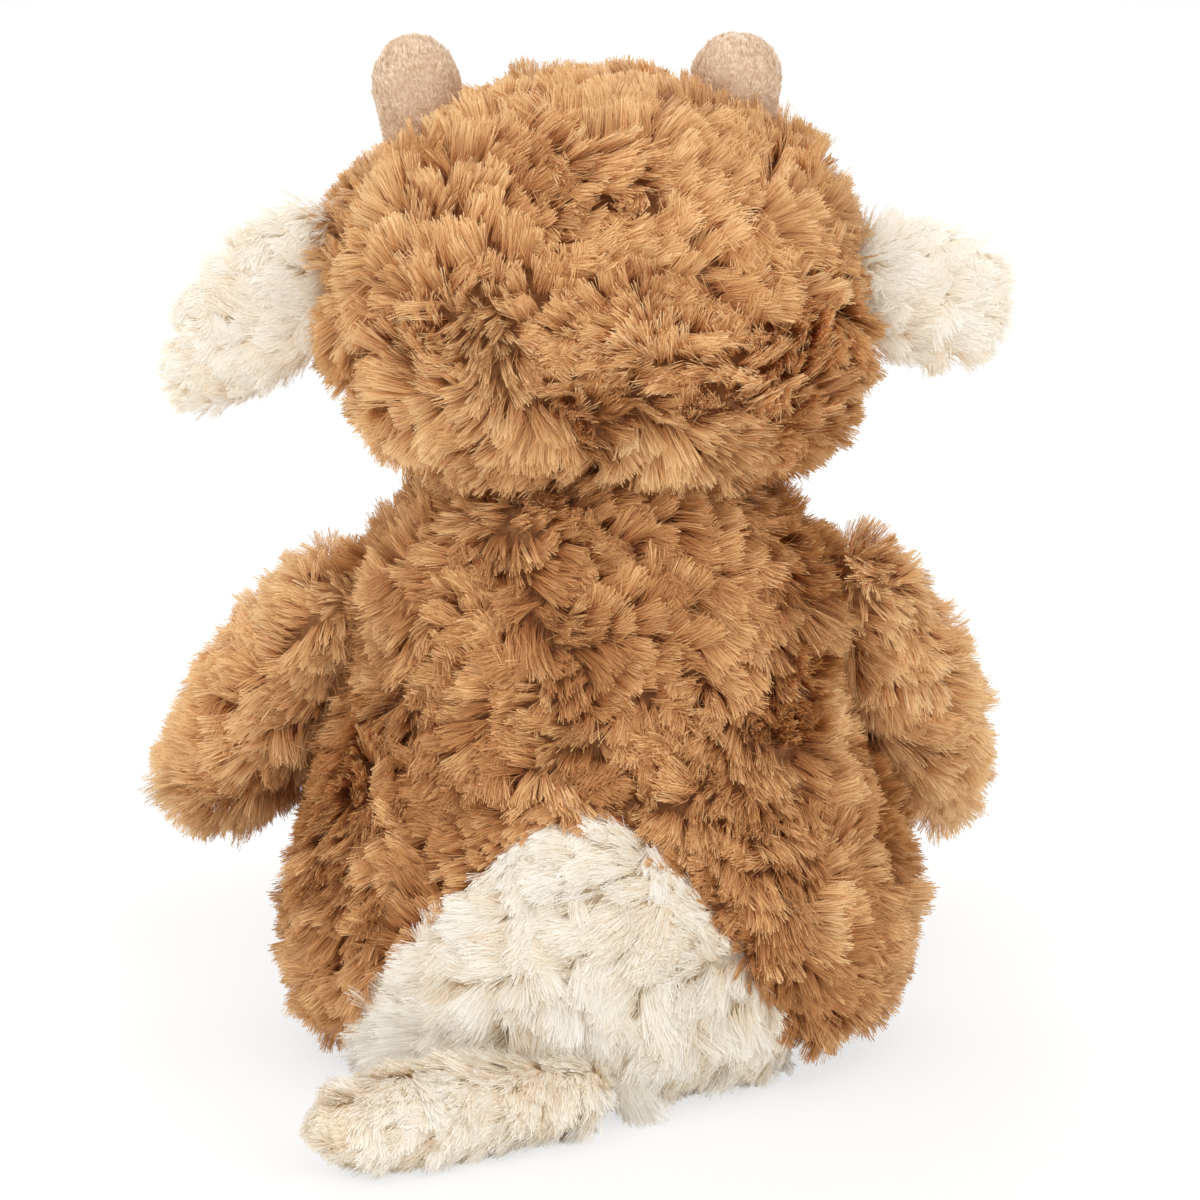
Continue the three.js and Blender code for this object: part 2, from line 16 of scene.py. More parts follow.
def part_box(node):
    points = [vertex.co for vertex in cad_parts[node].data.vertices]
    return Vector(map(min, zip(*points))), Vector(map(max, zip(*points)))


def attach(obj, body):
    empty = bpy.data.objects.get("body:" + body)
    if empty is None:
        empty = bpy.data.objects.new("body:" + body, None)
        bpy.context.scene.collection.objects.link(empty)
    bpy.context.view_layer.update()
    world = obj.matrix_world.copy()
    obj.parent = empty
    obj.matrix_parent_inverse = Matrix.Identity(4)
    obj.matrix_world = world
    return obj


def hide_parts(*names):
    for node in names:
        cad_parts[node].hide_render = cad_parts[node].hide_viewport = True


bl_info = {
    "name": "Plush Cow",
    "version": (1, 0, 0),
    "blender": (4, 5, 0),
    "location": "3D View > Sidebar > Plush Cow",
    "description": "Covers, long pile, face, filling and studio for a seated plush cow",
    "category": "Object",
}

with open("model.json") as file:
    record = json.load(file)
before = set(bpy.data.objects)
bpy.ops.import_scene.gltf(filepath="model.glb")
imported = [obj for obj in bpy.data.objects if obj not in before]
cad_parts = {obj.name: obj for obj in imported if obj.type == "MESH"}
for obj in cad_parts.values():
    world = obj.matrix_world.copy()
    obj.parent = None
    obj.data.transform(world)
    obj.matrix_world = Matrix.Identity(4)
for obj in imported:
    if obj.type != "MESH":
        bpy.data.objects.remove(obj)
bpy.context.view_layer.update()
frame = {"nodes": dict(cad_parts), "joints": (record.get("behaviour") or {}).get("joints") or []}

MM = 0.001
SIDES = {"left": 1, "right": -1}


def node_box(node):
    """The lowest and highest corners of a CAD node, as arrays."""
    low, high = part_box(node)
    return np.array(low), np.array(high)


def node_middle(node):
    low, high = node_box(node)
    return (low + high) / 2


def joint_place(name):
    """Where a joint of the frame turns, as an array."""
    found = next(entry for entry in frame["joints"] if entry["name"] == name)
    return np.array(found["pos_m"], dtype=float)


def unit(vectors):
    """Vectors of length one, along the last axis."""
    vectors = np.asarray(vectors, dtype=float)
    length = np.linalg.norm(vectors, axis=-1, keepdims=True)
    return vectors / np.maximum(length, 1e-12)


def ease(edge_low, edge_high, values):
    """0 below the first edge, 1 above the second and smooth between them."""
    share = np.clip((values - edge_low) / (edge_high - edge_low), 0, 1)
    return share * share * (3 - 2 * share)


def apart(points, place):
    """How far each point is from a place."""
    return np.linalg.norm(points - place, axis=1)


def noise(points, size, seed):
    """Smooth values from -1 to 1 over points, with features about size metres wide."""
    scaled = np.asarray(points) / size
    cell = np.floor(scaled).astype(np.int64)
    part = scaled - cell
    part = part * part * (3 - 2 * part)
    total = np.zeros(len(scaled))
    for corner in np.ndindex(2, 2, 2):
        at = cell + corner
        mixed = at[:, 0] * 73856093 ^ at[:, 1] * 19349663 ^ at[:, 2] * 83492791 ^ seed * 83492791
        mixed = (mixed ^ (mixed >> 13)) * 1274126177
        value = ((mixed ^ (mixed >> 16)) & 0xFFFF) / 32767.5 - 1
        weight = np.prod(np.where(corner, part, 1 - part), axis=1)
        total += weight * value
    return total


def turn_about(vectors, axes, angles):
    """Vectors square to their axes, turned about them."""
    angles = np.asarray(angles)[:, None]
    return vectors * np.cos(angles) + np.cross(axes, vectors) * np.sin(angles)


def colour(hex_value):
    """An sRGB hex colour as linear RGB and alpha."""
    channels = [int(hex_value[i : i + 2], 16) / 255 for i in (1, 3, 5)]
    linear = [c / 12.92 if c <= 0.04045 else ((c + 0.055) / 1.055) ** 2.4 for c in channels]
    return (*linear, 1.0)


WHITE = colour("#FFFFFF")


# Sizes and colours that a user would change


def length_property(name, description, default):
    return bpy.props.FloatProperty(
        name=name, description=description, default=default, unit="LENGTH", precision=4
    )


def colour_property(name, description, hex_value):
    return bpy.props.FloatVectorProperty(
        name=name, description=description, default=colour(hex_value), size=4, min=0, max=1, subtype="COLOR"
    )


class PlushCowCover(bpy.types.PropertyGroup):
    """The stuffed skins under the pile."""

    body_depth: length_property("Body depth", "Depth of body and head skins in the CAD surface", 6.2 * MM)
    arm_depth: length_property("Arm depth", "Depth of an arm's skin in the CAD surface", 9.5 * MM)
    leg_depth: length_property("Leg depth", "Depth of a leg's skin in the CAD surface", 6 * MM)
    tail_depth: length_property("Tail depth", "Depth of the tail's skin in the CAD surface", 3 * MM)
    filling_depth: length_property("Filling depth", "Depth of the filling under its skin", 3.4 * MM)
    lump: length_property("Lumps", "Height of the uneven stuffing's lumps", 2 * MM)
    # the brown ground has the roots' dark colour, which paints the shade seen in the gaps between tufts
    backing: colour_property("Backing", "Knitted ground of the brown plush", "#AE7A4C")
    # the cream ground is warmer and darker than the cream hair and paints the warm shade inside the pile
    cream_backing: colour_property("Cream backing", "Knitted ground of the cream plush", "#F0E6D4")


class PlushCowPile(bpy.types.PropertyGroup):
    """The long pile."""

    length: length_property("Pile length", "Length of a brown hair", 12 * MM)
    lock: length_property("Lock width", "Spacing of the broad locks that are combed one way", 19 * MM)
    ridge: length_property("Ridge spacing", "Distance from one ridge of hair ends to the next", 6.5 * MM)
    wisp: length_property("Wisp radius", "Radius of a wisp, the finest bundle of hairs", 0.8 * MM)
    # a real hair is a few hundredths of a millimetre wide, and fewer, wider ones fill the same pile
    hair: length_property("Hair width", "Widest part of one modelled hair", 0.25 * MM)
    density: bpy.props.FloatProperty(
        name="Density", description="Modelled hairs per square centimetre", default=700, min=0
    )
    # the root colour is darker than the hair above it and paints the shade in the gaps between tufts and
    # deep in the pile
    root: colour_property("Root", "Brown hair near the skin, in the gaps between tufts", "#AC784E")
    middle: colour_property("Middle", "Brown hair halfway up", "#D6A26B")
    tip: colour_property("Tip", "Brown hair at its cut end", "#F0CA97")
    # the cream root is warmer and darker than the cream hair and paints the warm shade of light bounced
    # inside the pile
    cream_root: colour_property("Cream root", "Cream hair near the skin", "#F0E2CA")
    cream_middle: colour_property("Cream middle", "Cream hair halfway up", "#F6F1E8")
    cream_tip: colour_property("Cream tip", "Cream hair at its cut end", "#F9F6EF")


class PlushCowShortPile(bpy.types.PropertyGroup):
    """The short pile of horns, ear linings and soles."""

    length: length_property("Short pile length", "Length of a short hair", 1.1 * MM)
    hair: length_property("Short hair width", "Width of one modelled short hair", 0.16 * MM)
    root: colour_property("Short pile root", "Short hair near the skin", "#E6CCAE")
    tip: colour_property("Short pile tip", "Short hair at its cut end", "#F7E7D6")


class PlushCowStage(bpy.types.PropertyGroup):
    """Camera, floor and lamps."""

    elevation: bpy.props.FloatProperty(
        name="Camera elevation", description="Angle above level", default=radians(15), subtype="ANGLE"
    )
    distance: length_property("Camera distance", "From the camera to the toy's middle", 1.2)
    view_width: length_property("View width", "Width of the picture at the toy's middle", 0.312)
    aside: length_property("Aside", "Small shift of the camera to the picture's right", -1.2 * MM)
    aim_height: length_property("Aim height", "Height of the point on the camera's axis", 0.13)


# Materials


class Tree:
    """The nodes of a new material or world, added one at a time and linked to what feeds them."""

    def __init__(self, owner):
        owner.use_nodes = True
        self.owner = owner
        self.nodes = owner.node_tree.nodes
        self.links = owner.node_tree.links
        self.nodes.clear()

    def add(self, kind, inputs=None, **settings):
        """Adds a node. An input is a plain value, or another node's output socket."""
        made = self.nodes.new("ShaderNode" + kind)
        for name, value in settings.items():
            setattr(made, name, value)
        for name, value in (inputs or {}).items():
            if isinstance(value, bpy.types.NodeSocket):
                self.links.new(value, made.inputs[name])
            else:
                made.inputs[name].default_value = value
        return made

    def finish(self, shader, output="OutputMaterial"):
        """Shows a shader, and returns the material or world."""
        self.add(output, {"Surface": shader.outputs[0]})
        return self.owner


def new_material(name):
    return Tree(bpy.data.materials.new(name))


def once(make):
    """A maker whose material is made at the first call and then shared."""
    made = []

    def shared():
        if not made:
            made.append(make())
        return made[0]

    return shared


def ramp(tree, value, stops):
    """A colour ramp over a value. Its stops are (position, colour)."""
    made = tree.add("ValToRGB", {"Fac": value})
    elements = made.color_ramp.elements
    while len(elements) < len(stops):
        elements.new(0.5)
    for element, (position, shade) in zip(elements, stops):
        element.position = position
        element.color = shade
    return made.outputs["Color"]


def darker(shade, share):
    return [channel * share for channel in shade[:3]] + [1]


def hair_material(name, stops, tints, roughness, sheen):
    """Polyester plush, darker towards the root, which paints the shade deep in the pile and in the gaps
    between tufts, paler at the cut end, and uneven from hair to hair.
    """
    tree = new_material(name)
    strand = tree.add("UVMap", uv_map="strand")
    parts = tree.add("SeparateXYZ", {"Vector": strand.outputs["UV"]})
    along = ramp(tree, parts.outputs["X"], stops)
    tint = ramp(tree, parts.outputs["Y"], tints)
    tinted = tree.add("Mix", data_type="RGBA", blend_type="MULTIPLY", inputs={0: 1.0, 6: along, 7: tint})
    fibre = tree.add("BsdfPrincipled", {
        "Base Color": tinted.outputs[2], "Roughness": roughness, "IOR": 1.5, "Specular IOR Level": 0.3,
        "Sheen Weight": sheen, "Sheen Roughness": 0.5,
    })
    # the underside of a hair glows with the light that falls on the pile from outside
    through = tree.add("BsdfTranslucent", {"Color": tinted.outputs[2]})
    ribbon = tree.add("NewGeometry")
    under = tree.add("Math", {0: ribbon.outputs["Backfacing"], 1: 0.8}, operation="MULTIPLY")
    mix = tree.add("MixShader", {0: under.outputs[0], 1: fibre.outputs[0], 2: through.outputs[0]})
    return tree.finish(mix)


@once
def brown_hair():
    pile = bpy.context.scene.plush_cow_pile
    # the root stop paints the shade deep in the pile
    stops = [(0.1, pile.root), (0.42, pile.middle), (0.88, pile.tip)]
    tints = [(0, colour("#C9AA8A")), (0.5, colour("#F2E6D6")), (1, WHITE)]
    return hair_material("brown polyester plush, long cut pile", stops, tints, 0.62, 0.12)


@once
def cream_hair():
    pile = bpy.context.scene.plush_cow_pile
    # the warm root stop paints the warm shade inside the pile
    stops = [(0.2, pile.cream_root), (0.6, pile.cream_middle), (1, pile.cream_tip)]
    tints = [(0, colour("#F3E5D2")), (0.35, colour("#FBF7F0")), (1, WHITE)]
    return hair_material("cream polyester plush, long cut pile", stops, tints, 0.6, 0.12)


@once
def short_hair():
    pile = bpy.context.scene.plush_cow_short_pile
    stops = [(0, pile.root), (0.45, pile.root), (1, pile.tip)]
    tints = [(0, colour("#E8DACA")), (1, WHITE)]
    return hair_material("beige minky, short cut pile", stops, tints, 0.7, 0.15)


def patterned(tree, tone, stops, grain, height, strength, finish):
    """A surface whose tone follows one pattern, and whose fine relief follows the same one or another."""
    relief = tree.add("Bump", {"Height": grain, "Distance": height, "Strength": strength})
    look = {"Base Color": ramp(tree, tone, stops), "Normal": relief.outputs["Normal"], **finish}
    return tree.finish(tree.add("BsdfPrincipled", look))


def knitted_backing(name, shade, stitch=1.4 * MM):
    """Knitted polyester ground of the plush, matte, with its stitches as a fine relief."""
    tree = new_material(name)
    place = tree.add("TexCoord").outputs["Object"]
    knit = tree.add("TexVoronoi", {"Vector": place, "Scale": 1 / stitch}).outputs["Distance"]
    stops = [(0, shade), (1, darker(shade, 0.6))]
    return patterned(tree, knit, stops, knit, 0.3 * MM, 0.6, {"Roughness": 0.95})


@once
def brown_backing():
    # its colour paints the shade seen in the gaps of the pile
    return knitted_backing("brown plush ground, knitted", bpy.context.scene.plush_cow_cover.backing)


@once
def cream_backing():
    return knitted_backing("cream plush ground, knitted", bpy.context.scene.plush_cow_cover.cream_backing)


@once
def velvet(fibre=0.35 * MM, patch=3.5 * MM):
    """Short dense nap: a fine grain of fibre ends, and soft lighter and darker patches, painted sheen where
    the nap leans another way.
    """
    tree = new_material("beige minky, dense nap seen end on")
    place = tree.add("TexCoord").outputs["Object"]
    # the ends of real fibres are too fine to show, so their grain is drawn coarser
    ends = tree.add("TexNoise", {"Vector": place, "Scale": 1 / fibre, "Detail": 2.0}).outputs["Fac"]
    # painted sheen: patches lighter and darker as the nap's lean would catch the light
    lean = tree.add("TexNoise", {"Vector": place, "Scale": 1 / patch, "Detail": 3.0}).outputs["Fac"]
    both = tree.add("Math", {0: ends, 1: lean}, operation="ADD").outputs[0]
    stops = [(0.7, colour("#BEA288")), (1, colour("#CEB49A"))]
    finish = {"Roughness": 0.9, "Sheen Weight": 0.3, "Sheen Roughness": 0.4}
    return patterned(tree, both, stops, ends, 0.3 * MM, 0.5, finish)


@once
def loose_fibre(fibre=2.5 * MM):
    """Loose polyester fibre, white and matted, drawn as strands a few millimetres wide."""
    tree = new_material("polyester fibre filling")
    place = tree.add("TexCoord").outputs["Object"]
    strands = {"Vector": place, "Scale": 1 / fibre, "Detail": 5.0, "Distortion": 1.5}
    matted = tree.add("TexNoise", strands).outputs["Fac"]
    stops = [(0.3, colour("#D8D5CC")), (0.7, colour("#FAF9F5"))]
    return patterned(tree, matted, stops, matted, 1.0 * MM, 0.8, {"Roughness": 1.0})


@once
def woven_cloth(thread=0.9 * MM):
    """Plain-woven cotton of the pellet bag, its threads crossing about a millimetre apart."""
    tree = new_material("cotton bag cloth, plain weave")
    parts = tree.add("SeparateXYZ", {"Vector": tree.add("TexCoord").outputs["Object"]})
    waves = []
    for direction in ("X", "Y"):
        turns = tree.add("Math", {0: parts.outputs[direction], 1: 2 * pi / thread}, operation="MULTIPLY")
        waves.append(tree.add("Math", {0: turns.outputs[0]}, operation="SINE").outputs[0])
    crossing = tree.add("Math", {0: waves[0], 1: waves[1]}, operation="MULTIPLY").outputs[0]
    stops = [(0, colour("#CFC8B6")), (1, colour("#E4DFD1"))]
    return patterned(tree, crossing, stops, crossing, 0.2 * MM, 0.5, {"Roughness": 0.9})


def twisted_thread(name, shade, ply=0.7 * MM):
    """Plied thread: slanted twists in relief, with a painted highlight on their crests and painted shade in
    their grooves.
    """
    tree = new_material(name)
    place = tree.add("TexCoord").outputs["Object"]
    slant = tree.add("Mapping", {"Vector": place, "Rotation": (0.6, 0.6, 0.6)})
    bands = {"Vector": slant.outputs["Vector"], "Scale": 1 / (2 * ply), "Distortion": 0.6}
    twist = tree.add("TexWave", bands, wave_type="BANDS").outputs["Fac"]
    # the colour is darker in the twists' grooves and full on their crests: painted shade and highlight
    return patterned(
        tree, twist, [(0, darker(shade, 0.55)), (1, shade)], twist, 0.15 * MM, 0.5, {"Roughness": 0.5}
    )


@once
def nostril_thread():
    return twisted_thread("rayon embroidery thread, satin stitch", colour("#4A3222"))


@once
def neck_thread():
    return twisted_thread("polyester sewing thread, plied", colour("#8A5F33"))


@once
def eye_plastic(swirl=6 * MM):
    """Moulded acrylic eye, polished, near black with a faint brown swirl."""
    tree = new_material("acrylic, moulded and polished")
    place = tree.add("TexCoord").outputs["Object"]
    depth = tree.add("TexNoise", {"Vector": place, "Scale": 1 / swirl, "Detail": 2.0}).outputs["Fac"]
    tone = ramp(tree, depth, [(0.3, colour("#0B0705")), (0.8, colour("#1E110A"))])
    look = {"Base Color": tone, "Roughness": 0.1, "IOR": 1.49, "Specular IOR Level": 0.35}
    return tree.finish(tree.add("BsdfPrincipled", look))


@once
def washer_plastic(speck=0.6 * MM):
    """Natural polypropylene lock washer, moulded, with a faint matte grain that is drawn coarse to show."""
    tree = new_material("polypropylene, moulded")
    place = tree.add("TexCoord").outputs["Object"]
    grain = tree.add("TexNoise", {"Vector": place, "Scale": 1 / speck, "Detail": 3.0}).outputs["Fac"]
    stops = [(0.2, colour("#DCD8CC")), (0.8, colour("#F0EEE7"))]
    return patterned(tree, grain, stops, grain, 0.05 * MM, 0.4, {"Roughness": 0.45, "IOR": 1.49})


# Skins: closed stuffed forms that a primitive is shaped to


def select_nothing():
    if bpy.context.object and bpy.context.object.mode != "OBJECT":
        bpy.ops.object.mode_set(mode="OBJECT")
    bpy.ops.object.select_all(action="DESELECT")


def get_points(mesh, kind="co"):
    """Where a mesh's points are, or with normal the way that each faces."""
    values = np.empty(len(mesh.vertices) * 3)
    mesh.vertices.foreach_get(kind, values)
    return values.reshape(-1, 3)


def set_points(mesh, points):
    mesh.vertices.foreach_set("co", np.asarray(points, dtype=np.float32).ravel())
    mesh.update()


def sort_faces(mesh):
    """Lists the faces by their corners. Blender lists those of a new sphere in another order each run."""
    points = get_points(mesh)
    faces = []
    for polygon in mesh.polygons:
        corners = list(polygon.vertices)
        first = corners.index(min(corners))
        faces.append(corners[first:] + corners[:first])
    mesh.clear_geometry()
    mesh.from_pydata(points.tolist(), [], sorted(faces))


def shaped_ball(name, shape, segments=64, rings=32):
    """A UV sphere whose points are moved to shape(share from pole to pole, angle round)."""
    select_nothing()
    bpy.ops.mesh.primitive_uv_sphere_add(segments=segments, ring_count=rings, radius=1, location=(0, 0, 0))
    ball = bpy.context.object
    ball.name = ball.data.name = name
    sort_faces(ball.data)
    points = get_points(ball.data)
    share = np.arccos(np.clip(-points[:, 2], -1, 1)) / pi
    around = np.arctan2(points[:, 1], points[:, 0])
    set_points(ball.data, shape(share, around))
    bpy.ops.object.mode_set(mode="EDIT")
    bpy.ops.mesh.select_all(action="SELECT")
    bpy.ops.mesh.normals_make_consistent(inside=False)
    bpy.ops.object.mode_set(mode="OBJECT")
    bpy.ops.object.shade_smooth()
    return ball


def lump(obj, height, size, seed):
    """Uneven stuffing: the skin moves in and out by smooth noise."""
    points = get_points(obj.data)
    normals = get_points(obj.data, "normal")
    rise = noise(points, size, seed) + 0.5 * noise(points, size / 2, seed + 1)
    set_points(obj.data, points + normals * (height * rise)[:, None])


def swell(obj, height, spread, amount, aside):
    """Pushes a skin out at both sides near a height, by nothing to the full amount between two widths."""
    points = get_points(obj.data)
    near = np.exp(-(((points[:, 2] - height) / spread) ** 2)) * ease(*aside, np.abs(points[:, 0]))
    points[:, 0] += np.sign(points[:, 0]) * amount * near
    set_points(obj.data, points)


def draw_in_back(obj, centre, amount, behind, spared, around, least):
    """Moves the back of a skin towards a centre, by nothing to the full amount between two depths.

    Near a spared place it moves by the least share, which grows to one between two distances around it.
    """
    points = get_points(obj.data)
    away = points - centre
    share = ease(*behind, away[:, 1])
    for place in spared:
        share *= least + (1 - least) * ease(*around, apart(points, place))
    set_points(obj.data, points - unit(away) * (amount * share)[:, None])


def along_line(points, share):
    """Points at shares of a polyline's length."""
    points = np.asarray(points, dtype=float)
    steps = np.linalg.norm(np.diff(points, axis=0), axis=1)
    at = np.concatenate([[0], np.cumsum(steps)]) / steps.sum()
    return np.stack([np.interp(share, at, points[:, i]) for i in range(points.shape[1])], axis=-1)


def bezier(points, steps=24):
    """Points on a cubic curve, the last one left out."""
    a, b, c, d = [np.array(p, dtype=float) for p in points]
    t = (np.arange(steps) / steps)[:, None]
    return a * (1 - t) ** 3 + 3 * b * t * (1 - t) ** 2 + 3 * c * t**2 * (1 - t) + d * t**3


def drawn_in(profile, distance):
    """A profile of (radius, height), from the lower to the upper pole, moved in by a distance."""
    along = unit(np.gradient(profile, axis=0))
    moved = profile + distance * np.stack([-along[:, 1], along[:, 0]], axis=1)
    moved[:, 0] = np.maximum(moved[:, 0], 0)
    moved[0, 0] = moved[-1, 0] = 0
    return moved


# The body's outline, as in the CAD: a flat seat, round hips, a leaning flank and a dome under the head
body_low, body_high = node_box("body_cover")
HIP_HALF_WIDTH = body_high[0]
BODY_DEPTH_SHARE = -body_low[1] / HIP_HALF_WIDTH
HIP_HEIGHT = 33 * MM
HIP_RISE = 28 * MM
SEAT_HALF_WIDTH = 58 * MM
SHOULDER_HALF_WIDTH = 53 * MM
SHOULDER_HEIGHT = 125 * MM
SHOULDER_LEAN = 5 * MM
SHOULDER_RISE = 30 * MM
BODY_TOP = 163 * MM
NECK_DOME_HALF_WIDTH = 44 * MM
# how far the handles of a cubic curve reach where it follows a quarter of a circle
QUARTER_CIRCLE = 0.5523

patch_low, patch_high = node_box("rump_patch")
PATCH_MIDDLE = (patch_high[0] + patch_low[0]) / 2
PATCH_HALF_WIDTH = (patch_high[0] - patch_low[0]) / 2
PATCH_SPRING = 17 * MM
PATCH_SEAM_UNDER_SEAT = 5 * MM

head_high = node_box("head_cover")[1]
HEAD_CENTRE = joint_place("head_nod")
HEAD_HALF_WIDTH = head_high[0]
HEAD_RADIUS = head_high[2] - HEAD_CENTRE[2]
HEAD_SQUARENESS = 2.35
HEAD_BACK_DRAWN_IN = 2.2 * MM
WHORL = unit(np.array([0.6, 0.9, 0.0]))


def body_profile():
    """Half of the body's outline as (half width, height), from the middle of the seat to the top."""
    seat_to_hip = bezier([
        (SEAT_HALF_WIDTH, 0),
        (SEAT_HALF_WIDTH + (HIP_HALF_WIDTH - SEAT_HALF_WIDTH) * QUARTER_CIRCLE, 0),
        (HIP_HALF_WIDTH, HIP_HEIGHT * (1 - QUARTER_CIRCLE)),
        (HIP_HALF_WIDTH, HIP_HEIGHT),
    ])
    hip_to_shoulder = bezier([
        (HIP_HALF_WIDTH, HIP_HEIGHT),
        (HIP_HALF_WIDTH, HIP_HEIGHT + HIP_RISE),
        (SHOULDER_HALF_WIDTH + SHOULDER_LEAN, SHOULDER_HEIGHT - SHOULDER_RISE),
        (SHOULDER_HALF_WIDTH, SHOULDER_HEIGHT),
    ])
    shoulder_to_top = bezier([
        (SHOULDER_HALF_WIDTH, SHOULDER_HEIGHT),
        (SHOULDER_HALF_WIDTH - 0.75 * SHOULDER_LEAN, SHOULDER_HEIGHT + 0.75 * SHOULDER_RISE),
        (NECK_DOME_HALF_WIDTH, BODY_TOP),
        (0, BODY_TOP),
    ])
    seat = np.stack([np.linspace(0, SEAT_HALF_WIDTH, 12, endpoint=False), np.zeros(12)], axis=1)
    return np.concatenate([seat, seat_to_hip, hip_to_shoulder, shoulder_to_top, [(0, BODY_TOP)]])


def body_skin(name, depth, segments=96, rings=72):
    line = drawn_in(body_profile(), depth)

    def shape(share, around):
        ring = along_line(line, share)
        across = ring[:, 0] * np.cos(around)
        deep = ring[:, 0] * np.sin(around) * BODY_DEPTH_SHARE
        return np.stack([across, deep, ring[:, 1]], axis=1)

    return shaped_ball(name, shape, segments, rings)


def head_skin(name, depth, segments=80, rings=56):
    reach = HEAD_HALF_WIDTH - depth
    radius = HEAD_RADIUS - depth

    def shape(share, around):
        across = np.abs(np.sin(share * pi)) ** (2 / HEAD_SQUARENESS)
        along = -np.sign(np.cos(share * pi)) * np.abs(np.cos(share * pi)) ** (2 / HEAD_SQUARENESS)
        ring = [reach * along, radius * across * np.cos(around), radius * across * np.sin(around)]
        return np.stack(ring, axis=1) + HEAD_CENTRE

    return shaped_ball(name, shape, segments, rings)


class Limb:
    """A stuffed limb: a ball-shaped root that swells to a belly and closes in a blunt end."""

    def __init__(
        self, centre, along, root, belly, length, belly_at, end=0.0, bluntness=2.3, flat_below=None
    ):
        self.centre = np.array(centre, dtype=float)
        self.along = unit(np.array(along, dtype=float))
        self.root = root
        self.belly = belly
        self.length = length
        self.belly_at = belly_at
        self.end = end
        self.bluntness = bluntness
        self.flat_below = flat_below
        side = np.array([0, 0, 1.0]) if abs(self.along[2]) < 0.3 else np.array([0, 1.0, 0])
        self.across = unit(side - self.along * side.dot(self.along))
        self.beside = np.cross(self.along, self.across)

    def profile(self):
        """Half of the limb's outline as (radius, distance from the hinge), from its root to its end."""
        a = np.linspace(0, pi / 2, 12, endpoint=False)
        root = np.stack([self.root * np.sin(a), -self.root * np.cos(a)], axis=1)
        t = np.linspace(0, 1, 12, endpoint=False)
        widening = self.root + (self.belly - self.root) * np.sin(t * pi / 2)
        belly = np.stack([widening, t * self.belly_at], axis=1)
        a = np.linspace(0, pi / 2, 24)
        narrowing = self.end + (self.belly - self.end) * np.cos(a) ** (2 / self.bluntness)
        reach = self.belly_at + (self.length - self.belly_at) * np.sin(a) ** (2 / self.bluntness)
        line = np.concatenate([root, belly, np.stack([narrowing, reach], axis=1)])
        return np.concatenate([line, [(0, self.length)]]) if self.end > 0 else line

    def placed(self, ring, around):
        """Places (radius, distance) round the limb's axis, and returns how far they stand off it too."""
        offset = np.outer(ring[:, 0] * np.cos(around), self.across)
        offset += np.outer(ring[:, 0] * np.sin(around), self.beside)
        return self.centre + offset + np.outer(ring[:, 1], self.along), offset

    def skin(self, name, depth, crease=None, end_depth=None, segments=48, rings=40):
        """The limb's skin. A crease is (share of the length, depth, half width)."""
        line = self.profile()
        if end_depth is not None:
            towards_end = ease(0.55 * self.length, 0.9 * self.length, line[:, 1])[:, None]
            depth = depth + (end_depth - depth) * towards_end
        line = drawn_in(line, depth)

        def shape(share, around):
            ring = along_line(line, share)
            points, offset = self.placed(ring, around)
            if crease is not None:
                at, deep, wide = crease
                dent = deep * np.exp(-(((ring[:, 1] - at * self.length) / wide) ** 2))
                points -= unit(offset + 1e-9) * (dent * ease(0.3, 1, ring[:, 0] / self.belly))[:, None]
            if self.flat_below is not None:
                points[:, 2] = np.maximum(points[:, 2], self.flat_below)
            return points

        return shaped_ball(name, shape, segments, rings)


# Pile


class Pile:
    """How a stretch of pile stands. Lengths are in metres and angles in degrees.

    It is always given the length and width of a hair, the spacing of locks and ridges, the radius of a
    wisp, and the density in hairs per square centimetre.
    """

    # hairs in a wisp, the share of them that is modelled from the root, and of stray ones
    hairs = 9
    whole = 0.2
    stray = 0.015
    # a ridge's width as a share of the ridges' spacing, and how far its ends draw into line and together
    breadth = 1.4
    steps = 0.75
    narrowing = 0.12
    # how a hair leans off the skin's normal at its root and its end, and how its curl differs, in radians
    rise = 20
    fall = 68
    curl = 0.42
    # how much the fall differs over the skin, from lock to lock and the length from place to place
    lay = 9
    lift = 6
    relief = 0.12
    # how locks turn from the combed way, over what distance, one from another, and how far each spreads
    wander = 0.95
    wander_size = 32 * MM
    jitter = 0.5
    fan = 0.6
    # the lightness of its tint, which some pieces set lower or higher as painted shade and light, and the
    # lowest height of a hair over the floor
    shade = 0.5
    floor = 0.4 * MM

    def __init__(self, **settings):
        self.__dict__.update(settings)


# How much the lean of wisps and hairs differs
LEAN_SPREAD = radians(4)

# A form of hair: the shares of its length where it bends, its corners as (bend, share of the half width),
# and its triangles
WHOLE_HAIR = (0, 0.5, 1), [(0, -1), (0, 1), (1, -0.9), (1, 0.9), (2, 0)], [(0, 2, 1), (1, 2, 3), (2, 4, 3)]
# most hairs are modelled only where they show, either broad at the cut end or broad where they come out
CUT_END = (0.38, 1), [(0, 0), (1, -1), (1, 1)], [(0, 1, 2)]
FINE_END = (0.3, 1), [(0, -1), (0, 1), (1, 0)], [(0, 2, 1)]


